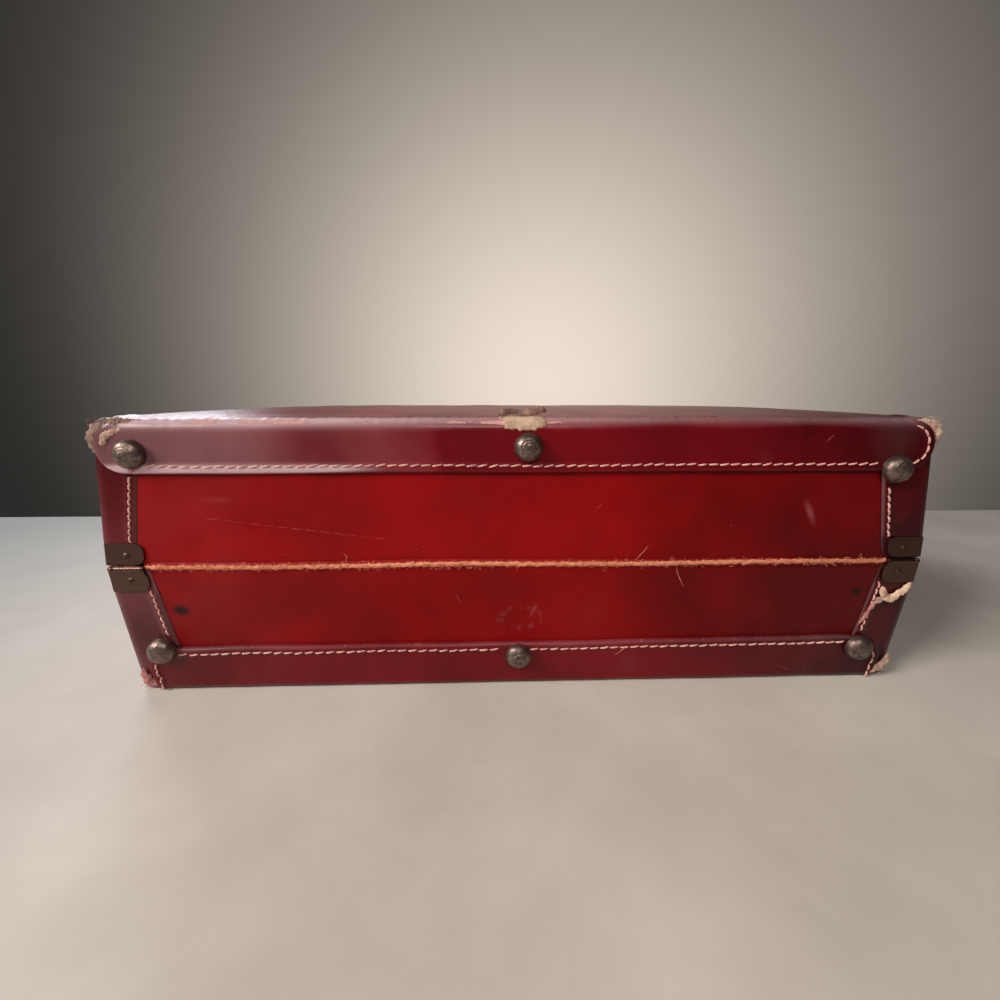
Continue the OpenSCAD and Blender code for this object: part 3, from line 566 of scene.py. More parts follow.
@dataclass(frozen=True)
class LiningCloth(Finish):
    """Plain cotton cloth pasted inside the case: a fine weave, faint stripes and brown age spots.

    The threads are 0.9 mm apart, which is coarser than the real 0.4 mm, so that the weave shows.
    """

    colour: str = "b39a74"
    stripe: str = "9c8058"
    stain: str = "7a5c3a"
    thread: float = 0.9 * MM
    band: float = 14 * MM
    age_spot: float = 38 * MM

    def material(self) -> bpy.types.Material:
        """Builds the cloth. A wave of scale 1 repeats every 2 pi / 20 of a metre.

        Returns:
            The material.
        """
        material, t, here = self.start()
        scale = 2 * math.pi / 20
        threads = [
            add(t, "TexWave", {"bands_direction": way}, Vector=here, Scale=scale / self.thread).outputs["Fac"]
            for way in "XYZ"
        ]
        weave = add(t, "Math", LARGER, n0=add(t, "Math", LARGER, n0=threads[0], n1=threads[1]), n1=threads[2])
        bands = add(t, "TexWave", {"bands_direction": "X"}, Vector=here, Scale=scale / self.band)
        lines = add(t, "MapRange", Value=bands.outputs["Fac"], n1=0.55, n2=0.75, n4=0.6)
        colour = add(t, "Mix", OF_COLOUR, n0=lines, n6=linear(self.colour), n7=linear(self.stripe))
        age = add(t, "TexNoise", Vector=here, Scale=1 / self.age_spot, Detail=5.0, Roughness=0.6)
        spots = add(t, "MapRange", Value=age, n1=0.55, n2=0.78, n4=0.7)
        colour = add(t, "Mix", OF_COLOUR, n0=spots, n6=colour, n7=linear(self.stain))
        bump = add(t, "Bump", Height=weave, Strength=0.5, Distance=0.15 * MM)
        self.end(t, Base_Color=colour, Roughness=0.9, Normal=bump, Sheen_Weight=0.2)
        return material


class Finishes:
    """Every finish of the case, each built once."""

    def __init__(self) -> None:
        """Builds the materials."""
        # The fourth colour of each hide is what "pale" mixes in, partly drying and partly a painted sheen;
        # the oxblood's bluish grey is mostly that sheen.
        crimson = Hide("polished_crimson_hide", "980609", "560205", "f09a78", "a0565c", coat=0.0, mottle=0.12)
        self.panel = crimson.material()
        oxblood = Hide("polished_oxblood_hide", "780a16", "36050c", "dca49c", "c0a2aa", 0.35, 0.28, 0.3, 0.09)
        self.strip = oxblood.material()
        self.grip = Hide("handled_oxblood_hide", "571219", "360a10", roughness=0.42, coat=0.1).material()
        self.raw = Fibre("raw_orange_leather_fibre", "f09a78", "b8563a").material()
        self.core = Fibre("torn_cream_leather_core", "f2d8bc", "b8876c").material()
        self.tan = Fibre("torn_tan_leather_fibre", "d6b29c", "7e5648").material()
        self.pink = Fibre("torn_pink_leather_fibre", "c98a80", "7a3036").material()
        self.scrim = Fibre("torn_greige_backing", "d8b89c", "9c7c66", 1.2 * MM).material()
        self.brown = Fibre("frayed_brown_board_fibre", "a48070", "4c342c").material()
        linen = Fibre("waxed_pink_linen_thread", "f2bfb2", "b56c66", 0.35 * MM, 0.12 * MM, 0.2)
        self.thread = linen.material()
        self.scratch = Fibre("pale_scratched_grain", "b84a42", "8c1c1c", 0.5 * MM, 0.05 * MM, 0.05).material()
        self.steel = OldMetal("tarnished_domed_steel", "95827b", "3d2f2b", 0.3).material()
        self.leaf = OldMetal("browned_hinge_steel", "5e463e", "241510", 0.36, 3 * MM, 0.7).material()
        self.plain_steel = OldMetal("plain_zinc_steel", "a8a49c", "6c655c", 0.38).material()
        self.brass = OldMetal("aged_lacquered_brass", "b89a5c", "6a4e2a", 0.32, 4 * MM).material()
        self.cloth = LiningCloth("pasted_cotton_lining").material()
        self.board = Fibre("brown_fibreboard", "8d7048", "6b5232", 1.4 * MM).material()


def finish_piece(piece: bpy.types.Object, material: bpy.types.Material, body: str = "") -> None:
    """Gives a piece its material and the body that it rides on.

    Args:
        piece: Piece to dress.
        material: Its finish.
        body: Body that it rides on, or none, which leaves the piece on no body.
    """
    piece.data.materials.clear()
    piece.data.materials.append(material)
    if body:
        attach(piece, body)
    log.info("built %s with %d faces", piece.name, len(piece.data.polygons))


def blend_over_seam(piece: bpy.types.Object) -> None:
    """Bakes the place of a piece that crosses the hinge side's seam into its points."""
    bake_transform(piece)


def closed_sheet(
    name: str, outer: Array, normals: Array, thick: float, keep: Array, lift: Array, values: dict[str, Array]
) -> bpy.types.Object:
    """Makes a closed sheet of leather from a grid of points on its outside.

    Args:
        name: Name of the piece.
        outer: Grid of points on the outside, before they are lifted.
        normals: Outward direction at each point.
        thick: Thickness of the leather.
        keep: Which cells of the grid hold leather.
        lift: How far each point of the outside is moved outwards.
        values: Named numbers at the points of the outside, which the finishes read.

    Returns:
        The new object.
    """
    rows, columns = outer.shape[:2]
    j, i = np.nonzero(keep)
    first = j * columns + i
    quads = np.stack([first, first + 1, first + columns + 1, first + columns], 1)
    count = rows * columns
    edges = np.concatenate([quads[:, [k, (k + 1) % 4]] for k in range(4)])
    keys = edges.min(1) * count + edges.max(1)
    _, where, times = np.unique(keys, return_index=True, return_counts=True)
    rim = edges[where[times == 1]]
    walls = np.stack([rim[:, 1], rim[:, 0], rim[:, 0] + count, rim[:, 1] + count], 1)
    faces = np.concatenate([quads, quads[:, ::-1] + count, walls])
    used, new = np.unique(faces, return_inverse=True)
    lifted = outer + normals * lift[..., None]
    points = np.concatenate([lifted.reshape(-1, 3), (outer - normals * thick).reshape(-1, 3)])
    shown = {key: np.concatenate([value.ravel(), np.zeros(count)])[used] for key, value in values.items()}
    return make_mesh(name, points[used], [tuple(f) for f in new.reshape(-1, 4).tolist()], shown, 60)


@dataclass(frozen=True)
class Tab:
    """Outline of the face leather's tabs on two opposite walls.

    Places are given along the wall from its middle, and as heights from the seam.
    """

    half: Half
    reach: float

    @property
    def straight(self) -> float:
        """Half length of the straight turned edge."""
        inset = CASE.lid_tab_inset if self.half is Half.LID else CASE.base_tab_inset
        return self.reach - inset - CASE.tab_round

    @property
    def top(self) -> float:
        """Half width of the tab where it meets the face."""
        return self.reach - CASE.notch

    @property
    def foot(self) -> float:
        """Height of the straight turned edge."""
        return CASE.strip_edge(self.half)

    @property
    def middle(self) -> float:
        """Height of the middle of the rounded ends."""
        return self.foot + CASE.tab_round

    def half_width(self, v: Array | float) -> Array:
        """Half width of the tab at a height.

        Args:
            v: Heights from the seam.

        Returns:
            Half widths of the tab, in metres.
        """
        h = np.asarray(v, float) - self.middle
        round_part = self.straight + np.sqrt(np.clip(CASE.tab_round**2 - h**2, 0, None))
        return np.where(h < 0, round_part, np.maximum(round_part, self.top))

    def inside(self, a: Array, v: Array) -> Array:
        """Distance of a place from the tab's outline.

        Args:
            a: Distances along the wall from its middle.
            v: Heights from the seam.

        Returns:
            Distances, above 0 inside the outline.
        """
        h = v - self.middle
        round_part = CASE.tab_round - np.hypot(np.maximum(np.abs(a) - self.straight, 0), h)
        above = np.minimum(h + CASE.tab_round, np.maximum(round_part, self.top - np.abs(a)))
        return np.where(h < 0, round_part, above)

    def shares(self) -> Array:
        """Columns across the tab as shares of its half width, close together at its ends.

        Returns:
            Shares between -1 and 1.
        """
        near = np.array([0, 0.12, 0.35, 0.7, 1.1, 1.7, 2.4, 3.1, 3.5, 3.9, 4.3, 4.8, 5.5, 6.5, 8, 9.6]) * MM
        ends = 1 - near / self.top
        count = int(2 * self.top * ends[-1] / (1.45 * MM))
        return np.concatenate([-ends[:-1], np.linspace(-ends[-1], ends[-1], count), ends[-2::-1]])

    def seam_line(self, inset: float, last: float) -> list[tuple[float, float, float]]:
        """Stitches of one side of the tab, from its middle round its end and up to a last height.

        Args:
            inset: Distance of the stitches from the outline.
            last: Height from the seam where they stop.

        Returns:
            Each stitch's place along the wall, its height and its direction.
        """
        r = CASE.tab_round - inset
        count = int(self.straight / STITCH.pitch) + 1
        found = [(k * STITCH.pitch, self.foot + inset, 0.0) for k in range(count)]
        turn = (found[-1][0] + STITCH.pitch - self.straight) / r
        stop = math.pi / 2 + math.acos(min(1.0, max(0.0, (self.top - inset - self.straight) / r)))
        while turn < stop and self.middle - r * math.cos(turn) < last:
            found.append((self.straight + r * math.sin(turn), self.middle - r * math.cos(turn), turn))
            turn += STITCH.round_pitch / r
        v = found[-1][1] + STITCH.round_pitch
        while v < last:
            found.append((self.top - inset, v, math.pi / 2))
            v += STITCH.round_pitch
        return found


@dataclass(frozen=True)
class Section:
    """Section of a leather of one half, up the wall, round the edge and onto the face."""

    half: Half
    wall: float
    face: float

    @property
    def radius(self) -> float:
        """Radius of the round edge."""
        return CASE.edge(self.half) + self.wall

    @property
    def height(self) -> float:
        """Distance from the seam to the middle of the round edge."""
        return CASE.depth(self.half) - CASE.skin + self.face - self.radius

    @property
    def inset(self) -> float:
        """Distance of the middle of the round edge from the outline of the board at the opening."""
        return self.height * CASE.lean - self.wall + self.radius

    def drop(self, v: float) -> float:
        """How far the round edge falls back from the plane of the wall, at a height."""
        rise = min(max(v - self.height, 0.0), 0.98 * self.radius)
        return self.radius - math.sqrt(self.radius**2 - rise**2)

    def stations(self, board: float, inner: float, wall_v: Array, arc_steps: int, face_steps: int) -> Array:
        """Rows from the face outwards and down the wall.

        Args:
            board: Half size of the board in this direction.
            inner: Three on the face where the rows start.
            wall_v: Heights of the rows on the wall, the highest first.
            arc_steps: Number of rows round the edge.
            face_steps: Number of rows on the face.

        Returns:
            Place, height, outward and upward parts of the direction, and distance from the last row.
        """
        centre = board - self.inset
        top = self.height + self.radius
        rows = [(c, top, 0.0, 1.0) for c in np.linspace(inner, centre, face_steps + 2)[1:-1]]
        for turn in np.linspace(math.pi / 2, 0, arc_steps):
            c, s = math.cos(turn), math.sin(turn)
            rows.append((centre + self.radius * c, self.height + self.radius * s, c, s))
        slope = math.hypot(1, CASE.lean)
        rows += [(board - v * CASE.lean + self.wall, v, 1 / slope, CASE.lean / slope) for v in wall_v]
        table = np.array(rows)
        steps = np.hypot(*np.diff(table[:, :2], axis=0).T)
        gone = np.concatenate([[0], np.cumsum(steps)])
        return np.concatenate([table, (gone[-1] - gone)[:, None]], 1)

    def crowned(self, x: Array, y: Array) -> Array:
        """Height of the face above the seam at places on it, for which its rings are searched.

        Args:
            x: Places across the case.
            y: Places from front to back.

        Returns:
            Heights of the face there.
        """
        top = self.height + self.radius
        if self.half is Half.BASE:
            return np.full(np.broadcast(x, y).shape, top)
        bx, by = CASE.board
        way = by - self.inset - CASE.crown_flat
        low, high = np.zeros(np.broadcast(x, y).shape), np.ones(np.broadcast(x, y).shape)
        for _ in range(18):
            t = (low + high) / 2
            inset = self.inset + t * way
            ring = CASE.corner + self.wall - self.radius + t * CASE.crown_round
            qx, qy = np.abs(x) - bx + inset + ring, np.abs(y) - by + inset + ring
            past = np.hypot(np.maximum(qx, 0), np.maximum(qy, 0)) + np.minimum(np.maximum(qx, qy), 0) > ring
            low, high = np.where(past, low, t), np.where(past, t, high)
        return top + CASE.crown * low * (2 - low)


@dataclass(frozen=True)
class FaceHide:
    """Leather of one face, wrapped over its edges and down the walls as four stitched tabs.

    Its places are x and y in plan, s along the leather from the turned edge, and d in from the outline.
    """

    half: Half
    finishes: Finishes
    base_edge_climb: float = 0.9 * MM
    groove: float = 0.3 * MM
    dents: float = 0.175 * MM
    roll: float = 1.1 * MM

    def edge_rise(self, x: Array | float, y: Array | float) -> Array:
        """How far the turned edge wanders towards the seam, along the walls.

        Args:
            x: Places across the case.
            y: Places from front to back.

        Returns:
            Distances towards the seam.
        """
        x, y = np.asarray(x, float), np.asarray(y, float)
        wander = 0.3 * MM * Waves(11 + self.half.value, 70 * MM, 4).at(x, y)
        if self.half is Half.BASE:
            wander = wander + self.base_edge_climb * smooth(x, 60 * MM, 180 * MM) * (y < 0)
        return wander * (1 - smooth(np.abs(x) / Tab(self.half, CASE.length / 2).straight, 0.93, 1))

    def hem_height(self, d: Array) -> Array:
        """Rise of the turned edge over the strip, by distance from the outline."""
        return CASE.hem_rise * (1 - smooth(d, STITCH.from_edge - 0.4 * MM, CASE.hem + 0.8 * MM))

    def worn(self, x: Array, y: Array, d: Array, s: Array) -> Array:
        """Where the dye is rubbed off: edges, corners, and the photographed places of the hinge side.

        Args:
            x: Three across the case.
            y: Three from front to back.
            d: Distance in from the outline.
            s: Distance along the leather from the turned edge.

        Returns:
            The wear at each point.
        """
        on_hinge = y < -0.13
        at_corner = smooth(np.abs(x), 0.196, 0.212) * smooth(np.abs(y), 0.12, 0.138)
        total = 0.16 * bell(d, 0.3 * MM, 0.8 * MM) + 0.3 * at_corner * smooth(s, 16 * MM, 26 * MM)
        if self.half is Half.BASE:
            total = total + 0.2 * bell(d, 0.4 * MM, 0.6 * MM) * on_hinge
            return total + 0.35 * bell(x, 0.17, 0.02) * bell(s, 21 * MM, 3 * MM) * on_hinge
        line = bell(s, 26.3 * MM, 1.3 * MM)
        spots = 0.5 + 0.5 * Waves(61, 26 * MM).at(x, 0 * x)
        stretch = smooth(x, -0.2, -0.17) * (1 - smooth(x, -0.01, 0.02))
        total = total + (0.34 + 0.5 * spots) * line * on_hinge * stretch
        total = total + 0.42 * bell(s, 2.0 * MM, 1.5 * MM) * bell(x, -0.15, 0.05) * on_hinge
        rubs = ((0.095, 0.02, 0.42), (0.014, 0.01, 0.7), (-0.014, 0.01, 0.75), (0.15, 0.03, 0.3))
        for centre, width, amount in rubs:
            total = total + amount * bell(x, centre, width) * line * on_hinge
        return total

    def pale(self, x: Array, y: Array, s: Array) -> Array:
        """Where the leather is lighter: a painted sheen towards the left of the hinge side, and on the lid a
        painted highlight on the hem at the left and along the round edge, partly from drying; and the base's
        pale line along its turned edge.

        Args:
            x: Places across the case.
            y: Places from front to back.
            s: Distances along the leather from the turned edge.

        Returns:
            Amounts, 0 for dyed leather.
        """
        on_hinge = y < -0.13
        if self.half is Half.LID:
            # Painted sheen towards the left, then a painted highlight, partly the leather's drying, on the
            # hem at the left and along the round edge, fading to the right.
            total = (0.1 * smooth(-x, 0.0, 0.1) + 0.13 * smooth(-x, 0.115, 0.15)) * on_hinge
            total = total + 2.0 * smooth(-x, 0.07, 0.12) * bell(s, 2.2 * MM, 1.7 * MM) * on_hinge
            total = total + 0.5 * bell(x, -0.14, 0.08) * bell(s, 27 * MM, 3.4 * MM) * on_hinge
            total = total + (0.55 - 0.3 * smooth(x, 0.0, 0.12)) * bell(s, 28.6 * MM, 3.6 * MM) * on_hinge
        else:
            # Painted sheen towards the left, and the leather's own pale line along the turned edge.
            total = 0.04 * smooth(-x, 0.12, 0.2) * on_hinge + 0.12 * bell(s, 0.8 * MM, 1.0 * MM) * on_hinge
        return total

    def deep(self, x: Array) -> Array:
        """Where the leather is darker: towards the ends, and more so at the right, partly darker dye and
        partly painted shade.
        """
        right = 0.5 * smooth(x, 0.05, 0.16) + 0.35 * smooth(x, 0.15, 0.2)
        return 0.05 + right + 0.28 * smooth(-x, 0.08, 0.18)

    def build(self) -> None:
        """Builds the leather as one closed sheet."""
        section = Section(self.half, CASE.wrap_out, CASE.skin)
        long, short = Tab(self.half, CASE.length / 2), Tab(self.half, CASE.width / 2)
        near = np.array([0, 0.12, 0.35, 0.7, 1.1, 1.7, 2.4, 3.1, 3.5, 3.9, 4.3, 4.8, 5.5, 6.5, 8]) * MM
        far = np.arange(9.5 * MM, section.height - long.foot - 0.5 * MM, 1.5 * MM)
        wall_v = long.foot + np.concatenate([near, far])
        out_x = section.stations(CASE.board[0], long.top, wall_v[::-1], 13, 3)
        out_y = section.stations(CASE.board[1], short.top, wall_v[::-1], 13, 3)
        share_x, share_y = long.shares(), short.shares()

        def line(out: Array, share: Array, top: float) -> tuple[Array, Array]:
            """All the rows in one direction.

            Args:
                out: Rows of the edge and the wall.
                share: Rows of the face as shares of the tab's half width.
                top: Half width of the tab where it meets the face.

            Returns:
                The rows, and which of them lie outside the middle of the face.
            """
            inner = np.zeros((len(share), 5))
            inner[:, 0] = share * top
            inner[:, 1] = CASE.depth(self.half)
            inner[:, 3] = 1
            inner[:, 4] = out[0, 4] + (1 - np.abs(share)) * top
            mirrored = out[::-1] * [-1, 1, -1, 1, 1]
            outside = np.repeat([True, False, True], [len(out), len(share), len(out)])
            return np.concatenate([mirrored, inner, out]), outside

        column, off_x = line(out_x, share_x, long.top)
        row, off_y = line(out_y, share_y, short.top)
        widen_x = np.where(off_y, long.half_width(row[:, 1]) / long.top, 1.0)[:, None]
        widen_y = np.where(off_x, short.half_width(column[:, 1]) / short.top, 1.0)[None, :]
        x = column[None, :, 0] * np.where(off_x[None, :], 1.0, widen_x)
        y = row[:, None, 0] * np.where(off_y[:, None], 1.0, widen_y)
        on_face = (row[:, 3] == 1)[:, None] & (column[:, 3] == 1)[None, :]
        z = np.where(on_face, section.crowned(x, y), np.minimum(row[:, 1, None], column[None, :, 1]))
        nx = column[None, :, 2] + 0 * x
        ny = row[:, None, 2] + 0 * x
        nz = np.minimum(row[:, 3, None], column[None, :, 3]) * self.half.value
        d = np.hypot(np.maximum(long.top - np.abs(x), 0), np.maximum(short.top - np.abs(y), 0))
        d = np.where(off_y[:, None], long.inside(x, row[:, 1, None] + 0 * x), d)
        d = np.where(off_x[None, :], short.inside(y, column[None, :, 1] + 0 * y), d)
        d = np.maximum(d, 0)
        s = np.minimum(row[:, 4, None], column[None, :, 4])
        keep = ~(off_x[None, :] & off_y[:, None])
        keep = keep[:-1, :-1] & keep[1:, 1:] & keep[:-1, 1:] & keep[1:, :-1]
        lift = self.lift(x, y, d, s)
        outer = np.stack([x, y, SEAM + self.half.value * z], -1)
        rise = self.edge_rise(x, y) * (1 - smooth(s, 4 * MM, 16 * MM))
        outer[..., 2] -= self.half.value * rise
        # "pale" is drying plus painted sheen and highlight; "deep" is darker dye plus painted shade.
        values = {"worn": self.worn(x, y, d, s), "pale": self.pale(x, y, s), "deep": self.deep(x)}
        normals = np.stack([nx, ny, nz], -1)
        piece = closed_sheet(f"{self.half.body}_face_hide", outer, normals, CASE.leather, keep, lift, values)
        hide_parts(f"{self.half.body}_face_leather")
        finish_piece(piece, self.finishes.strip, self.half.body)

    def lift(self, x: Array, y: Array, d: Array, s: Array) -> Array:
        """How far the outside is moved out: turned edge, groove with dips under the thread, gentle waves.

        Args:
            x: Three across the case.
            y: Three from front to back.
            d: Distance in from the outline.
            s: Distance along the leather from the turned edge.

        Returns:
            The distance at each point.
        """
        along = np.where(np.abs(y) > CASE.width / 2 - CASE.notch, x, y)
        dip = bell(d, STITCH.from_edge, 0.7 * MM) * (0.5 + 0.5 * np.cos(math.pi * along / STITCH.pitch) ** 2)
        amount = self.hem_height(d) - self.groove * dip
        amount = amount + 0.14 * MM * Waves(5, 45 * MM).at(x + s, y) * smooth(d, 2 * MM, 8 * MM)
        over_edge = smooth(s, 22 * MM, 30 * MM)
        if self.half is Half.BASE:
            amount = np.where(amount > 0, amount * (1 - over_edge), amount)
        else:
            dented = over_edge * (1 - smooth(s, 34 * MM, 40 * MM))
            amount = amount + self.dents * Waves(31, 4 * MM, 9).at(x, y) * dented
        fall = 1 - np.sqrt(np.clip(1 - (1 - np.minimum(d / self.roll, 1)) ** 2, 0, 1))
        return amount * (1 - fall) - 0.92 * CASE.leather * fall


@dataclass(frozen=True)
class Seamstress:
    """Thread of one half: every visible stitch as its own bit of twisted thread."""

    half: Half
    finishes: Finishes
    face: FaceHide
    around: int = 8
    along: int = 9
    slant: float = math.radians(9)
    unevenness: float = math.radians(3.5)
    stud_reach: float = 9.3 * MM

    def bit(self) -> Array:
        """One stitch that lies along x and dips into the leather at both ends.

        Returns:
            Rings of points of the stitch.
        """
        t = np.linspace(-1, 1, self.along)[:, None]
        turn = full_turn(self.around)[None, :]
        full = np.sqrt(np.clip(1 - np.abs(t) ** 3, 0.02, 1))
        r = STITCH.radius * full * (1 + 0.16 * np.cos(2 * turn + 9 * t))
        height = STITCH.radius * (0.75 - 1.9 * np.abs(t) ** 2.5)
        return np.stack([t * STITCH.length / 2 + 0 * turn, r * np.cos(turn), r * np.sin(turn) + height], -1)

    def lines(self) -> list[tuple[Array, Array]]:
        """Lays out the stitches of the tabs and then those of the end leathers' flaps.

        Returns:
            Every stitch's place and its axes, as rows along, across and out.
        """
        rng = np.random.default_rng(40 + self.half.value)
        found: list[tuple[Array, Array]] = []

        def sew(wall: Wall, a: float, v: float, w: float, turn: float, long: float = 1.0) -> None:
            """Adds one stitch.

            Args:
                wall: Wall that it is on.
                a: Distance along the wall from its middle.
                v: Distance from the seam.
                w: Distance out from the board.
                turn: Its angle on the leather.
                long: Its length as a share.
            """
            axes = wall_axes(self.half, wall)
            turn += rng.normal(0, self.unevenness)
            c, s = math.cos(turn), math.sin(turn)
            here = place(self.half, wall, a + rng.normal(0, 0.1 * MM), v + rng.normal(0, 0.12 * MM), w)
            along = (c * axes[0] + s * axes[1]) * long
            found.append((here, np.stack([along, c * axes[1] - s * axes[0], axes[2]])))

        edge = CASE.strip_edge(self.half)
        section = Section(self.half, CASE.wrap_out, CASE.skin)
        strip_w = CASE.wrap_out + float(self.face.hem_height(np.array(STITCH.from_edge))) - 0.25 * MM
        for wall in Wall:
            tab = Tab(self.half, (CASE.length if wall in (Wall.HINGE, Wall.FRONT) else CASE.width) / 2)
            for a, v, turn in tab.seam_line(STITCH.from_edge, section.height + 2.6 * MM):
                slant = self.slant * math.cos(turn)
                for side in (-1, 1) if a else (1,):
                    if self.half is Half.LID and wall is Wall.HINGE and side < 0 and turn > 0:
                        continue
                    p = place(self.half, wall, side * a, edge, CASE.wrap_out)
                    level = v - float(self.face.edge_rise(p[0], p[1]))
                    if not self.under_stud(wall, side * a, level):
                        way = side * self.half.value * turn + slant
                        sew(wall, side * a, level, strip_w - section.drop(v), way, 0.78 if turn else 1.0)
        lean = math.atan(CASE.lean + CASE.flare / CASE.lid_depth)
        for wall in (Wall.HINGE, Wall.FRONT):
            low = CASE.leaf_height + 2.2 * MM if wall is Wall.HINGE else CASE.rim + 6 * MM
            for side in (-1, 1):
                shift = CASE.shift(self.half) * (side if wall is Wall.HINGE else -side)
                for v in np.arange(low, edge - 2.4 * MM, STITCH.flap_pitch):
                    a = side * (CASE.flap_edge(self.half, v) + STITCH.flap_from_edge + shift)
                    if not self.under_stud(wall, a, v):
                        tilt = math.pi / 2 + side * self.half.value * lean + 0.16
                        sew(wall, a, v, CASE.skin + CASE.hem_rise - 0.2 * MM, tilt, 0.72)
        return found

    def under_stud(self, wall: Wall, a: float, v: float) -> bool:
        """Whether a stud covers the place."""
        near = (math.hypot(a - x, v - h) < self.stud_reach for x, h in stud_places(self.half))
        return wall is Wall.HINGE and any(near)

    def build(self) -> None:
        """Builds all the half's thread as one piece."""
        bit = self.bit().reshape(-1, 3)
        points, faces = [], []
        for n, (here, axes) in enumerate(self.lines()):
            points.append(here + bit @ axes)
            faces += rod_faces(self.along, self.around, n * len(bit))
        piece = make_mesh(f"{self.half.body}_stitches", np.concatenate(points), faces)
        finish_piece(piece, self.finishes.thread, self.half.body)


def stud_places(half: Half) -> list[tuple[float, float]]:
    """Where the studs of a half are on the hinge wall. They were set by hand and so vary.

    Args:
        half: Half of the case.

    Returns:
        Each stud's distance from the middle and from the seam.
    """
    out = CASE.length / 2 - CASE.stud_inset
    if half is Half.LID:
        return [(-out - 0.6 * MM, 60 * MM), (0.8 * MM, 63 * MM), (out - 1.2 * MM, 51 * MM)]
    return [(-out - 2.6 * MM, 49 * MM), (-3.4 * MM, 56 * MM), (out - 2.4 * MM, 54.5 * MM)]


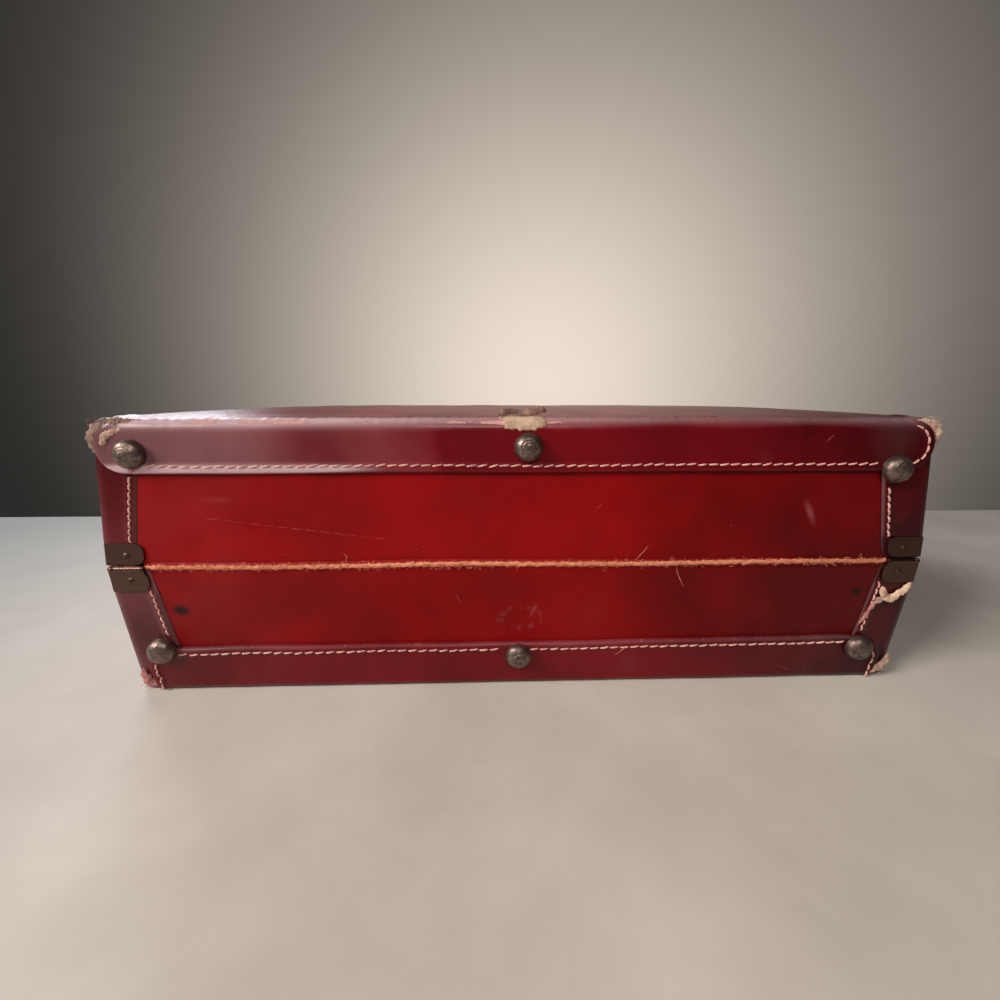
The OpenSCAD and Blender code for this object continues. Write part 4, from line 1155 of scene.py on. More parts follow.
@dataclass(frozen=True)
class EndHide:
    """Leather of one end of a half, with a turned edge on each flap, folded over the edge at both corners."""

    half: Half
    side: int
    finishes: Finishes
    shoulder: float = 6.3 * MM
    corner_steps: int = 9
    end_steps: int = 34
    tatter: float = 9 * MM
    ragged: float = 0.42 * MM

    def build(self) -> None:
        """Builds the leather as a closed sheet, ragged and worn near the corners of the face."""
        section = Section(self.half, CASE.skin, CASE.skin)
        top_v = CASE.depth(self.half) - self.shoulder
        wall_v = np.concatenate([np.arange(CASE.rim, top_v - 0.5 * MM, 1.5 * MM), [top_v]])
        rows = [(v * CASE.lean - CASE.skin, v, CASE.corner + CASE.skin, 0.0) for v in wall_v]
        first = math.asin(min(1.0, max(0.0, (top_v - section.height) / section.radius)))
        for turn in np.linspace(first, math.pi / 2, 10)[0 if top_v < section.height - 0.3 * MM else 1 :]:
            c, s = math.cos(turn), math.sin(turn)
            ring = CASE.corner + CASE.skin - section.radius * (1 - c)
            rows.append((section.inset - section.radius * c, section.height + section.radius * s, ring, turn))
        end_inset = CASE.board[1] - CASE.width / 2 + CASE.notch - 0.3 * MM
        ring = CASE.corner + CASE.skin - section.radius
        for inset in np.linspace(section.inset, end_inset, 7)[1:]:
            rows.append((inset, section.height + section.radius, ring, math.pi / 2))
        grid, normals, along, in_corner = self.grid(np.array(rows), top_v)
        on_face = np.array(rows)[:, 3] > 1.57
        crown = section.crowned(grid[..., 0], grid[..., 1])
        grid[..., 2] = np.where(on_face[:, None], SEAM + self.half.value * crown, grid[..., 2])
        count = len(wall_v)
        height = np.array(rows)[:, 1]
        keep = np.ones((len(rows) - 1, grid.shape[1] - 1), bool)
        keep[count - 1 :] = (in_corner[:-1] & in_corner[1:])[None, :]
        tip_x = self.side * (CASE.board[0] - 3 * MM)
        tip_z = SEAM + self.half.value * (CASE.depth(self.half) - 1 * MM)
        away = np.hypot(grid[..., 0] - tip_x, grid[..., 2] - tip_z)
        tattered = bell(np.hypot(np.abs(grid[..., 1]) - CASE.board[1] + 4 * MM, away), 0, self.tatter)
        lumps = rough(grid, 2.4 * MM) + 0.6 * rough(grid, 0.9 * MM)
        lift = self.hem(along, height) + self.ragged * lumps * tattered
        if self.half is Half.BASE:
            lift = np.minimum(lift, CASE.hem_rise * (height < 66 * MM)[:, None])
        worn = 0.28 * bell(along, 0, 0.8 * MM) + 0.75 * tattered * (0.6 + 0.5 * lumps)
        name = f"{self.half.body}_{'left' if self.side < 0 else 'right'}_end"
        # A painted sheen on the left ends through "pale"; through "deep" both ends are darker and the right
        # one more, partly darker dye and partly painted shade.
        dryness_and_sheen = (0.03 if self.half is Half.LID else 0.09) if self.side < 0 else 0.0
        values = {"worn": worn, "pale": 0.5 * worn + dryness_and_sheen, "deep": 0 * worn + (0.5 if self.side < 0 else 0.75)}
        piece = closed_sheet(f"{name}_hide", grid, normals, CASE.leather, keep, lift, values)
        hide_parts(f"{name}_leather")
        finish_piece(piece, self.finishes.strip, self.half.body)

    def grid(self, rows: Array, top_v: float) -> tuple[Array, Array, Array, Array]:
        """Points round the end, from one flap's edge to the other's.

        Args:
            rows: Inset from the board's outline, height from the seam, corner radius and turn of each row.
            top_v: Height above which only the corners hold leather.

        Returns:
            The points, their outward directions, their distances from the flaps' edges, and which columns
            are the corners'.
        """
        long, short = Tab(self.half, CASE.length / 2), Tab(self.half, CASE.width / 2)
        near = np.array([0, 0.15, 0.35, 0.7, 1.2, 2, 3, 4, 5, 6, 7.5]) * MM
        table, edges = [], []
        gap, least = 0.25 * MM, 0.05 * MM
        for inset, v, ring, turn in rows:
            bx, by = CASE.board[0] - inset, CASE.board[1] - inset
            x0 = min(float(long.half_width(max(v, top_v))) + gap, bx - least)
            y0 = min(float(short.half_width(max(v, top_v))) + gap, by - least)
            cx, cy = bx - ring, by - ring
            edge = float(CASE.flap_edge(self.half, min(v, top_v))) + CASE.shift(self.half) * self.side
            start = math.asin(min(1.0, max(0.0, (x0 - cx) / ring)))
            stop = max(math.pi / 2 - math.asin(min(1.0, max(0.0, (y0 - cy) / ring))), start)
            line = [(edge + d, by, 0.0) for d in near if edge + d < x0 - 0.5 * MM]
            line += [line[-1]] * (len(near) - len(line))
            line += [(line[-1][0] + (x0 - line[-1][0]) * f, by, 0.0) for f in (0.4, 0.8)]
            y, run = cy + ring * math.cos(start), max(cx, x0) - x0
            line += [(x0 + run * f, y, start) for f in np.linspace(0, 0.9, 5)]
            turns = np.linspace(start, stop, self.corner_steps)
            line += [(cx + ring * math.sin(a), cy + ring * math.cos(a), a) for a in turns]
            x, low = cx + ring * math.sin(stop), max(cy, y0)
            line += [(x, low + (y0 - low) * f, stop) for f in np.linspace(0.1, 1, 5)]
            line += [(bx, y0 * (1 - f), math.pi / 2) for f in np.linspace(0.03, 1, self.end_steps)]
            table.append(line)
            edges.append([edge])
        x, y, aim = np.moveaxis(np.array(table), -1, 0)
        x = np.concatenate([x, x[:, -2::-1]], 1) * self.side
        y = np.concatenate([-y, y[:, -2::-1]], 1)
        aim_x = np.concatenate([np.sin(aim), np.sin(aim[:, -2::-1])], 1) * self.side
        aim_y = np.concatenate([-np.cos(aim), np.cos(aim[:, -2::-1])], 1)
        turn = np.maximum(rows[:, 3, None], math.atan(CASE.lean))
        up = self.half.value * np.sin(turn) + 0 * aim_x
        z = SEAM + self.half.value * rows[:, 1, None] + 0 * x
        first = len(near) + 2
        last = first + 5 + self.corner_steps + 5
        columns = np.arange(x.shape[1])
        nearer = np.minimum(columns, x.shape[1] - 1 - columns)
        in_corner = (nearer >= first) & (nearer < last)
        along = np.where((nearer < first)[None, :], np.abs(x) - np.array(edges), 1.0)
        normals = np.stack([aim_x * np.cos(turn), aim_y * np.cos(turn), up], -1)
        return np.stack([x, y, z], -1), normals, np.maximum(along, 0), in_corner

    def hem(self, along: Array, v: Array) -> Array:
        """Rise of the turned edges, with a groove under the stitches, and none under the hinge leaf.

        Args:
            along: Distances from the flaps' edges.
            v: Height from the seam of each row.

        Returns:
            Rise at each point.
        """
        rolled = smooth(along, -0.1 * MM, 0.9 * MM) - 0.35
        thick = CASE.hem_rise * (1 - smooth(along, CASE.hem - 1 * MM, CASE.hem + 1 * MM)) * rolled / 0.65
        groove = 0.3 * MM * bell(along, STITCH.flap_from_edge, 0.7 * MM)
        clear = smooth(v, CASE.leaf_height, CASE.leaf_height + 1.2 * MM)
        covered = 1 - smooth(v, CASE.strip_edge(self.half) - 1.6 * MM, CASE.strip_edge(self.half) - 0.4 * MM)
        return (thick - groove) * (clear * covered)[:, None]


@dataclass(frozen=True)
class HingeHide:
    """The one hide of the hinge side, from strip to strip, with its raw worn fold along the seam."""

    finishes: Finishes
    ridge: float = 1.3 * MM
    ridge_width: float = 1.4 * MM
    columns: int = 620
    fibre_count: int = 1500

    def build(self) -> None:
        """Builds the hide and the fibres on its fold."""
        fine = np.arange(-3.6, 3.61, 0.24) * MM
        upper = np.concatenate([np.arange(4.2, 50, 1.9) * MM, [CASE.strip_edge(Half.LID) + 4 * MM]])
        lower = -np.concatenate([np.arange(4.2, 51, 1.9) * MM, [CASE.strip_edge(Half.BASE) + 4 * MM]])[::-1]
        v = np.concatenate([lower, fine, upper])
        share = np.linspace(-1, 1, self.columns)
        points, worn, pale, deep = self.surface(v, share)
        back_v = np.array([v[0], -30 * MM, -4 * MM, -1 * MM, 1 * MM, 4 * MM, 30 * MM, v[-1]])
        back = self.grid(back_v, share, CASE.glue + 0.15 * MM)
        back[2:-2, :, 1] -= 0.5 * MM
        both = np.concatenate([points, back[::-1]])
        rows, columns = both.shape[:2]
        faces = grid_faces(rows, columns, tube=True)
        for column in (0, columns - 1):
            rim = [j * columns + column for j in range(rows)]
            faces += self.strip_of(rim, len(v))
        zeros = np.zeros(back.shape[:2])
        named = (("worn", worn), ("pale", pale), ("deep", deep))
        values = {key: np.concatenate([value, zeros]) for key, value in named}
        piece = make_mesh("hinge_side_hide", both, faces, values)
        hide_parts("lid_hinge_panel", "base_hinge_panel", "leather_hinge_fold")
        blend_over_seam(piece)
        finish_piece(piece, self.finishes.panel)
        self.fibres()

    def strip_of(self, rim: list[int], front: int) -> Faces:
        """Faces that close one side between the front rows and the back rows of a rim.

        Args:
            rim: Point numbers round the side.
            front: How many of them are in front.

        Returns:
            Corner numbers of each face.
        """
        a, b = rim[:front], rim[front:][::-1]
        faces: Faces = []
        for k in range(len(a) - 1):
            near, after = (round(n * (len(b) - 1) / (len(a) - 1)) for n in (k, k + 1))
            faces.append((a[k], a[k + 1], b[after], b[near]) if near != after else (a[k], a[k + 1], b[near]))
        return faces

    def grid(self, v: Array, share: Array, w: Array | float) -> Array:
        """Points of the hide, which follows the end leathers' flaps.

        Args:
            v: Heights of the rows from the seam, up being positive.
            share: Threes of the columns as shares of the half width.
            w: Distance out from the board.

        Returns:
            The points, with x, y and z last.
        """
        height = np.abs(v)
        opened = smooth(v, -8 * MM, 0)
        lid, base = (CASE.flap_edge(half, height) for half in Half)
        half_width = lid * opened + base * (1 - opened) - 0.2 * MM
        shift = np.where(v > 0, CASE.lid_panel_shift, 0.0) * smooth(height, 0, 8 * MM)
        x = shift[:, None] + half_width[:, None] * share[None, :]
        y = -(CASE.board[1] - height[:, None] * CASE.lean + w) + 0 * x
        return np.stack([x, y, np.broadcast_to(SEAM + v[:, None], x.shape)], -1)

    def surface(self, v: Array, share: Array) -> tuple[Array, Array, Array, Array]:
        """The outside of the hide, with the ragged ridge of its fold.

        Args:
            v: Heights of the rows from the seam.
            share: Threes of the columns as shares of the half width.

        Returns:
            The points, and how worn, how pale and how dark the leather is there, painted sheen and shade
            included.
        """
        flat = self.grid(v, share, CASE.skin)
        x, height = flat[..., 0], np.broadcast_to(v[:, None], flat.shape[:2])
        along_only = flat * [1, 0, 0]
        taper = 1 - smooth(np.abs(x), 0.12, 0.2) * 0.75
        lumps = 0.5 + 0.6 * rough(flat * [1, 1, 1.6], 1.7 * MM) + 0.55 * rough(flat, 0.75 * MM)
        drift = 0.5 * MM * Waves(21, 90 * MM, 4).at(x, 0 * x)
        drift = drift + 0.5 * MM * rough(along_only, 4 * MM) + 0.25 * MM * rough(along_only, 1.4 * MM)
        from_ridge = height - drift
        on_ridge = bell(from_ridge / (self.ridge_width * (0.7 + 0.5 * lumps)), 0, 1)
        rise = self.ridge * taper * on_ridge * (0.55 + 0.6 * lumps)
        rise = rise - 0.35 * MM * bell(np.abs(from_ridge), 2.6 * MM, 0.8 * MM)
        for seed, size, amount in ((3, 55 * MM, 0.14 * MM), (8, 17 * MM, 0.05 * MM)):
            rise = rise + amount * Waves(seed, size).at(x, height)
        rise = rise - 0.4 * MM * (1 - smooth(1 - np.abs(share), 0, 0.004)[None, :])
        worn = 1.3 * on_ridge * (0.7 + 0.3 * taper)
        points = flat - np.array([0, 1.0, 0]) * rise[..., None]
        return points, worn, self.pale(flat, x, height), self.deep(flat, x, height)

    def pale(self, flat: Array, x: Array, height: Array) -> Array:
        """Where the leather is lighter: a painted sheen towards the left, and scuffed paler leather in an
        oval scuff with a nick, a rub and a smear.

        Args:
            flat: Points of the hide.
            x: Threes across the case.
            height: Heights from the seam.

        Returns:
            The lightness at each point.
        """
        oval = np.hypot((x + 2 * MM) / (12 * MM), (height + 33 * MM) / (6.5 * MM)) + 0.3 * rough(flat, 4 * MM)
        broken = np.clip(0.4 + 0.9 * rough(flat, 2.4 * MM), 0, 1)
        # Painted sheen towards the left, and a faint uneven tone.
        total = 0.05 * smooth(-x, 0.06, 0.2) + 0.02 * Waves(9, 60 * MM).at(x, height)
        total = total + 0.4 * bell(oval, 1, 0.12) * broken
        marks = (
            (5 * MM, -28 * MM, 0.5, 1 * MM, 3.4 * MM, 0.45),
            (-161 * MM, 35.8 * MM, 0, 6.5 * MM, 0.9 * MM, 0.3),
            (155.5 * MM, 27.5 * MM, -0.45, 1.5 * MM, 5 * MM, 0.6),
        )
        for mark_x, mark_v, slope, wide, high, amount in marks:
            up = height - mark_v
            total = total + amount * bell(np.hypot((x - mark_x - slope * up) / wide, up / high), 0, 1)
        return total

    def deep(self, flat: Array, x: Array, height: Array) -> Array:
        """Where the leather is darker: towards the ends, more at the right, and in the base, partly darker
        dye and partly painted shade; and in two spilt spots.

        Args:
            flat: Points of the hide.
            x: Threes across the case.
            height: Heights from the seam.

        Returns:
            The darkness at each point.
        """
        # Painted shade, with some darker dye: the right end, a little of the left end and the base are
        # darker.
        total = 0.05 + 0.74 * smooth(x, 0.01, 0.19) + 0.1 * smooth(-x, 0.02, 0.16)
        total = total + 0.2 * smooth(-height, -2 * MM, 6 * MM)
        spots = ((-189 * MM, -25.5 * MM, 3.2 * MM, 2.4), (190 * MM, -19.5 * MM, 3.6 * MM, 0.55))
        for spot_x, spot_v, size, amount in spots:
            away = np.hypot(x - spot_x, (height - spot_v) * 1.5) + 0.8 * MM * rough(flat, 1.6 * MM)
            total = total + amount * bell(away, 0, size)
        return total

    def fibres(self) -> None:
        """Short raw fibres that stand off the worn fold."""
        rng = np.random.default_rng(77)
        runs = []
        for _ in range(self.fibre_count):
            x = rng.uniform(-0.197, 0.199)
            v = rng.normal(0, 0.75 * MM)
            way = rng.uniform(0, 2 * math.pi)
            size = rng.uniform(0.8, 2.8) * MM
            root = place(Half.LID, Wall.HINGE, x, v, CASE.skin + 0.6 * MM)
            step = np.array([math.cos(way), -rng.uniform(0.1, 0.5), 0.7 * math.sin(way)]) * size
            bend = rng.normal(0, 0.25, 3) * size
            runs.append(np.array([root, root + step / 2 + bend, root + step]))
        piece = make_mesh("fold_fibres", *thin_tubes(runs, 0.13 * MM))
        blend_over_seam(piece)
        finish_piece(piece, self.finishes.raw)


def thin_tubes(runs: Sequence[Array], radius: float, sides: int = 4) -> tuple[Array, Faces]:
    """Thin closed tubes along runs of points, thinner at both ends.

    Args:
        runs: Each tube's centreline.
        radius: Radius at the middle of each tube.
        sides: Number of sides.

    Returns:
        Points and faces of all the tubes.
    """
    points: list[Array] = []
    faces: Faces = []
    turn = full_turn(sides)
    start = 0
    for run in runs:
        tangent = np.gradient(run, axis=0)
        tangent /= np.maximum(np.linalg.norm(tangent, axis=1, keepdims=True), 1e-9)
        side = np.cross(tangent, [0.31, 0.17, 0.93])
        side /= np.maximum(np.linalg.norm(side, axis=1, keepdims=True), 1e-9)
        other = np.cross(tangent, side)
        n = len(run)
        size = radius * np.sqrt(np.clip(1 - np.linspace(-1, 1, n) ** 4, 0.06, 1))
        ring = run[:, None] + size[:, None, None] * (
            np.cos(turn)[None, :, None] * side[:, None] + np.sin(turn)[None, :, None] * other[:, None]
        )
        points.append(ring.reshape(-1, 3))
        faces += rod_faces(n, sides, start)
        start += n * sides
    return np.concatenate(points), faces


@dataclass(frozen=True)
class Studs:
    """Domed steel studs of one half, with a turned ring on the crown and dents from long use."""

    half: Half
    finishes: Finishes
    radius: float = 7.6 * MM
    rim: float = 0.5 * MM
    dome: float = 5.6 * MM
    shank: float = 1.6 * MM
    tail: float = 6.2 * MM
    around: int = 56

    def profile(self) -> Array:
        """Radius and height of the stud's section, from its tail to its crown.

        Returns:
            One row for each ring of points.
        """
        r = self.radius
        end = -self.tail
        rows = [(0.001 * MM, end - 0.6 * MM), (2.7 * MM, end - 0.5 * MM), (2.8 * MM, end), (self.shank, end)]
        rows += [(self.shank, -0.02 * MM), (r * 0.5, 0.0), (r - 0.25 * MM, 0.0)]
        rows += [(r - 0.04 * MM, 0.12 * MM), (r, 0.28 * MM), (r - 0.06 * MM, self.rim)]
        foot = r - 0.2 * MM
        for turn in np.linspace(4, 90, 34):
            a = math.radians(turn)
            rows.append((max(foot * math.cos(a), 0.001 * MM), self.rim + self.dome * math.sin(a) ** 0.93))
        return np.array(rows)

    def build(self) -> None:
        """Builds the three studs as one piece of three solids."""
        section = self.profile()
        r, h = section[:, 0, None], section[:, 1, None]
        turn = full_turn(self.around)
        axes = wall_axes(self.half, Wall.HINGE)
        rings = bell(r, 3.6 * MM, 0.28 * MM) + 0.5 * bell(r, 1.9 * MM, 0.3 * MM)
        points, faces = [], []
        for n, (x, v) in enumerate(stud_places(self.half)):
            local = np.stack([r * np.cos(turn), r * np.sin(turn), h + 0 * turn], -1)
            ringed = (0.3 * MM if n == 1 else 0.16 * MM) * rings * (h > 2 * MM)
            dents = 0.22 * MM * rough(local + n * 31 * MM, 3.4 * MM)
            dents = dents + 0.1 * MM * rough(local + n * 17 * MM, 1.2 * MM)
            local[..., 2] += (dents - ringed) * (h > self.rim + 0.3 * MM)
            seat = place(self.half, Wall.HINGE, x, v, CASE.wrap_out + CASE.glue)
            points.append((seat + local @ axes).reshape(-1, 3))
            faces += rod_faces(len(section), self.around, n * len(points[0]))
        piece = make_mesh(f"{self.half.body}_domed_studs", np.concatenate(points), faces)
        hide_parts(f"{self.half.body}_studs")
        finish_piece(piece, self.finishes.steel, self.half.body)


@dataclass(frozen=True)
class Hardware:
    """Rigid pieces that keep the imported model's exact shape and get softened edges."""

    finishes: Finishes
    light_wear: float = 0.15
    barrel_wear: float = 0.55
    barrel_reach: float = 1.75 * MM
    sharp: float = math.radians(34)

    def soften(
        self, node: str, width: float, material: bpy.types.Material, values: Sequence[str] = ()
    ) -> None:
        """Builds a copy of a node with rounded edges.

        Args:
            node: Name of the node.
            width: Width of the rounding.
            material: Finish of the piece.
            values: Names of numbers at the corners that the finish reads, all set to a light wear.
        """
        source = frame["nodes"][node]
        mesh = bpy.data.meshes.new(node + "_shape")
        b = bmesh.new()
        b.from_mesh(source.data)
        bmesh.ops.remove_doubles(b, verts=b.verts, dist=0.002 * MM)
        flat = math.radians(1.5)
        bmesh.ops.dissolve_limit(b, angle_limit=flat, verts=b.verts, edges=b.edges)
        bmesh.ops.recalc_face_normals(b, faces=b.faces)
        b.to_mesh(mesh)
        b.free()
        for key in values:
            set_values(mesh, key, [self.light_wear] * len(mesh.vertices))
        if "hinge" in node:
            _, y, z = frame["joints"][0]["pos_m"]
            on_barrel = [math.hypot(v.co.y - y, v.co.z - z) < self.barrel_reach for v in mesh.vertices]
            set_values(mesh, "worn", [self.barrel_wear * on for on in on_barrel])
        piece = bpy.data.objects.new(node + "_softened", mesh)
        bpy.context.scene.collection.objects.link(piece)
        bevel = piece.modifiers.new("rounding", "BEVEL")
        bevel.width = width
        bevel.segments = 2
        bevel.limit_method = "ANGLE"
        bevel.angle_limit = self.sharp
        bevel.harden_normals = True
        mesh.polygons.foreach_set("use_smooth", [True] * len(mesh.polygons))
        mesh.set_sharp_from_angle(angle=self.sharp)
        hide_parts(node)
        finish_piece(piece, material, source["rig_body"])

    def build(self) -> None:
        """Builds the hinges, locks and handle fittings, and the flat leathers of the front."""
        f = self.finishes
        for side in ("left", "right"):
            for half in ("lid", "base"):
                self.soften(f"{side}_hinge_{half}_leaf", 0.22 * MM, f.leaf)
            for name in ("lock_body", "slide_bolt", "handle_bracket", "hasp_plate", "hasp"):
                self.soften(f"{side}_{name}", 0.3 * MM, f.brass)
        worn = ("worn", "pale")
        for half in ("lid", "base"):
            self.soften(f"{half}_hinge_rivets", 0.12 * MM, f.leaf)
            self.soften(f"{half}_lock_rivets", 0.12 * MM, f.brass)
            self.soften(f"{half}_front_panel", 0.4 * MM, f.panel, worn)
            self.soften(f"{half}_rim_binding", 0.35 * MM, f.strip, worn)
            self.soften(f"{half}_stud_washers", 0.15 * MM, f.plain_steel)
            self.soften(f"{half}_lock_back_plates", 0.2 * MM, f.plain_steel)
        self.soften("handle_bracket_rivets", 0.12 * MM, f.brass)
        self.soften("handle_back_plates", 0.2 * MM, f.plain_steel)
        self.soften("handle_end_fittings", 0.4 * MM, f.brass)
        self.soften("closing_lip", 0.5 * MM, f.board)
        self.soften("hinge_pins", 0.15 * MM, f.leaf)
        for node in ("handle_pivot_pins", "hasp_pins"):
            self.soften(node, 0.15 * MM, f.plain_steel)


@dataclass(frozen=True)
class Grip:
    """The handle's stitched leather grip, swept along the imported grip's own line."""

    finishes: Finishes
    half_span: float = 52 * MM
    drop: float = 32 * MM
    cup_mouth: float = 13 * MM
    cup_floor: float = 8 * MM
    end_radius: float = 3.9 * MM
    height: float = 17 * MM
    thickness: float = 15 * MM
    power: float = 3.0
    around: int = 40
    sewn_columns: tuple[int, int] = (14, 26)
    pitch: float = 4.6 * MM

    def line(self, s: Array) -> Array:
        """Points along the grip's line, by share, as x and z from the pivots.

        Args:
            s: Shares of the line, from 0 to 1.

        Returns:
            The points.
        """
        turn = math.pi * (1 + s)
        c, q = np.cos(turn), np.sin(turn)
        x = self.half_span * np.sign(c) * np.abs(c) ** (2 / self.power)
        z = -self.cup_mouth - 1 * MM - (self.drop - self.cup_mouth - 1 * MM) * np.abs(q) ** (2 / self.power)
        return np.stack([x, z], -1)

    def build(self) -> None:
        """Builds the grip and its stitches."""
        axis = next(joint["pos_m"] for joint in frame["joints"] if joint["name"] == "handle_swing")
        s = np.linspace(0.012, 0.988, 150)
        left, right = (
            np.array([[x, -self.cup_floor], [x, -self.cup_mouth]]) for x in (-self.half_span, self.half_span)
        )
        centre = np.concatenate([left, self.line(s), right[::-1]])
        share = np.concatenate([[0, 0], s, [1, 1]])
        tangent = np.gradient(centre, axis=0)
        tangent[:2] = (0, -1)
        tangent[-2:] = (0, 1)
        tangent /= np.linalg.norm(tangent, axis=1, keepdims=True)
        swell = smooth(2.6 * np.minimum(share, 1 - share), 0, 1)[:, None]
        turn = full_turn(self.around)
        welt = 0.35 * MM * bell(np.abs(turn - math.pi), 1.02, 0.09) * swell
        across = np.cos(turn) * (self.end_radius + (self.height / 2 - self.end_radius) * swell + welt)
        out = np.sin(turn) * (self.end_radius + (self.thickness / 2 - self.end_radius) * swell + welt)
        x = axis[0] + centre[:, 0, None] - tangent[:, 1, None] * across
        z = axis[2] + centre[:, 1, None] + tangent[:, 0, None] * across
        points = np.stack([x, axis[1] + out, z], -1)
        points += 0.12 * MM * rough(points, 6 * MM)[..., None] * grid_normals(points)
        worn = 0.08 + 0.14 * swell * bell(turn, math.pi, 0.9)
        faces = rod_faces(len(points), self.around)
        piece = make_mesh("stitched_leather_grip", points, faces, {"worn": worn, "pale": worn})
        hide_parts("handle_grip")
        finish_piece(piece, self.finishes.grip, "handle")
        self.stitches(points)

    def stitches(self, points: Array) -> None:
        """Two rows of stitches along the grip, just inside its welts.

        Args:
            points: Rings of points of the grip.
        """
        runs = []
        middle = points.mean(1)
        lift = np.array([-0.5, 0.22, 0.34, 0.22, -0.5]) * MM
        for row in (points[:, column] for column in self.sewn_columns):
            gone = np.concatenate([[0], np.cumsum(np.linalg.norm(np.diff(row, axis=0), axis=1))])
            for at in np.arange(14 * MM, gone[-1] - 14 * MM, self.pitch):
                steps = at + np.linspace(-1.7, 1.7, 5) * MM
                here = np.stack([np.interp(steps, gone, column) for column in row.T], -1)
                core = np.stack([np.interp(steps, gone, column) for column in middle.T], -1)
                out = here - core
                out /= np.linalg.norm(out, axis=1, keepdims=True)
                runs.append(here + out * lift[:, None])
        piece = make_mesh("grip_stitches", *thin_tubes(runs, 0.42 * MM, 6))
        finish_piece(piece, self.finishes.thread, "handle")


@dataclass(frozen=True)
class Scars:
    """Torn patches, scraps, tufts, threads and scratches that the photographed case has."""

    finishes: Finishes
    hair: float = 0.17 * MM
    scratch: float = 0.16 * MM
    fray: float = 0.14 * MM

    def patch(self) -> None:
        """Builds the bare backing above the lid's middle stud, bent over the edge, and the flaps round it."""
        section = Section(Half.LID, CASE.wrap_out, CASE.skin)
        turn = full_turn(72)
        share = np.linspace(0.02, 1, 14)[:, None]
        blunt = (np.cos(turn) ** 4 + np.sin(turn) ** 4) ** -0.25
        ragged = np.cos(5 * turn + 1) + np.cos(11 * turn) + np.cos(19 * turn + 2)
        reach = (0.88 * blunt + 0.05 * ragged) * share
        bend = math.radians(52) * (1 + reach * np.sin(turn))
        out = np.stack([0 * bend, -np.cos(bend), np.sin(bend)], -1)
        flat = out * (section.radius + 0.1 * MM)
        flat[..., 0] = -1.4 * MM + 12.4 * MM * reach * np.cos(turn)
        flat += [0, section.inset - CASE.board[1], SEAM + section.height]
        lumps = rough(flat, 2.6 * MM) + 0.5 * rough(flat, 1.0 * MM)
        thick = 0.8 * MM * (0.8 + 0.28 * lumps) * np.sqrt(np.clip(1 - share**6, 0, 1))
        points = np.concatenate([flat + out * thick[..., None], (flat - out * 0.25 * MM)[::-1]])
        piece = make_mesh("torn_patch", points, rod_faces(len(points), len(turn)), sharp=70)
        finish_piece(piece, self.finishes.scrim, "lid")
        edge = np.array([0, CASE.lid_depth * CASE.lean - CASE.board[1] + 3.4 * MM, SEAM + CASE.lid_depth])
        self.curl("torn_patch_flap", self.finishes.brown, (1.9, 0.36, 0.5), edge, (
            (-15, 1.0, 1.0, 0.5), (-12, -0.4, 2.8, 1.1), (-8, 0.4, 3.4, 0.9), (-3.5, 0.6, 2.2, 0.8),
            (1, 0.0, 2.8, 1.0), (5, -0.6, 3.6, 1.15), (8.6, -0.2, 4.4, 1.0), (11, 0.8, 3.2, 0.5)))
        self.curl("torn_patch_lobe", self.finishes.tan, (1.2, 0.7, 0.5), edge, (
            (-14.2, -1.0, 0.6, 0.6), (-13.4, -2.8, -1.6, 1.0), (-13.6, -4.0, -4.0, 0.5)))

    def curl(
        self, name: str, finish: bpy.types.Material, sizes: Three, start: Array,
        rows: Sequence[Sequence[float]],
    ) -> None:
        """Builds a roll of the lid's torn leather from offsets in mm, which start at a place."""
        self.roll(name, Half.LID, finish, sizes, start + np.array(rows)[:, :3] * MM, rows)

    def roll(
        self, name: str, half: Half, finish: bpy.types.Material, sizes: Three, route: Array,
        rows: Sequence[Sequence[float]],
    ) -> None:
        """Builds a lumpy roll of torn leather along a route, closed at both ends.

        Args:
            name: Name of the piece.
            half: Half that it rides on.
            finish: Its finish.
            sizes: Its radius, its height as a share of its width, and how far it is torn in and out, in mm.
            route: Points of its line.
            rows: For each point, a row that ends with its thickness there as a share.
        """
        radius, flat, rag = sizes
        n, sides = 14 * len(route), 22
        table = np.concatenate([route, np.array(rows)[:, -1:]], 1)
        at = np.linspace(0, len(route) - 1, n)
        line = np.stack([np.interp(at, np.arange(len(route)), column) for column in table.T], -1)
        for _ in range(6):
            line[1:-1] = (line[:-2] + 2 * line[1:-1] + line[2:]) / 4
        centre = line[:, :3]
        tangent = np.gradient(centre, axis=0)
        tangent /= np.linalg.norm(tangent, axis=1, keepdims=True)
        forward = np.array([0.0, -1.0, 0.12])
        out = forward - tangent * (tangent @ forward)[:, None]
        out /= np.linalg.norm(out, axis=1, keepdims=True)
        turn = full_turn(sides)[None, :, None]
        way = np.cos(turn) * np.cross(tangent, out)[:, None] + flat * np.sin(turn) * out[:, None]
        ends = np.sqrt(np.clip(1 - np.linspace(-1, 1, n) ** 6, 0.02, 1))
        ring = centre[:, None] + (radius * MM * line[:, 3] * ends)[:, None, None] * way
        torn = rough(ring, 2.3 * MM) + 0.7 * rough(ring, 0.9 * MM) + 0.4 * rough(ring, 0.4 * MM)
        ring = ring + way * (rag * MM * torn * ends[:, None])[..., None]
        ring[..., 2] = np.maximum(ring[..., 2], 0.15 * MM)
        piece = make_mesh(name, ring, rod_faces(n, sides), sharp=70)
        finish_piece(piece, finish, half.body)

    def by_corner(self, half: Half, side: int, rows: Sequence[Sequence[float]]) -> Array:
        """Places near a corner of the hinge side.

        Args:
            half: Half of the case.
            side: -1 for the left corner and 1 for the right one.
            rows: Each place in mm, as in from the end, in from the edge of the face, and back from the wall.

        Returns:
            The points.
        """
        a, v, back = np.array(rows)[:, :3].T * MM
        depth = CASE.depth(half)
        reach = CASE.skin - depth * CASE.lean
        x, y = side * (CASE.board[0] + reach - a), back - CASE.board[1] - reach
        return np.stack([x, y, SEAM + half.value * (depth - v)], -1)

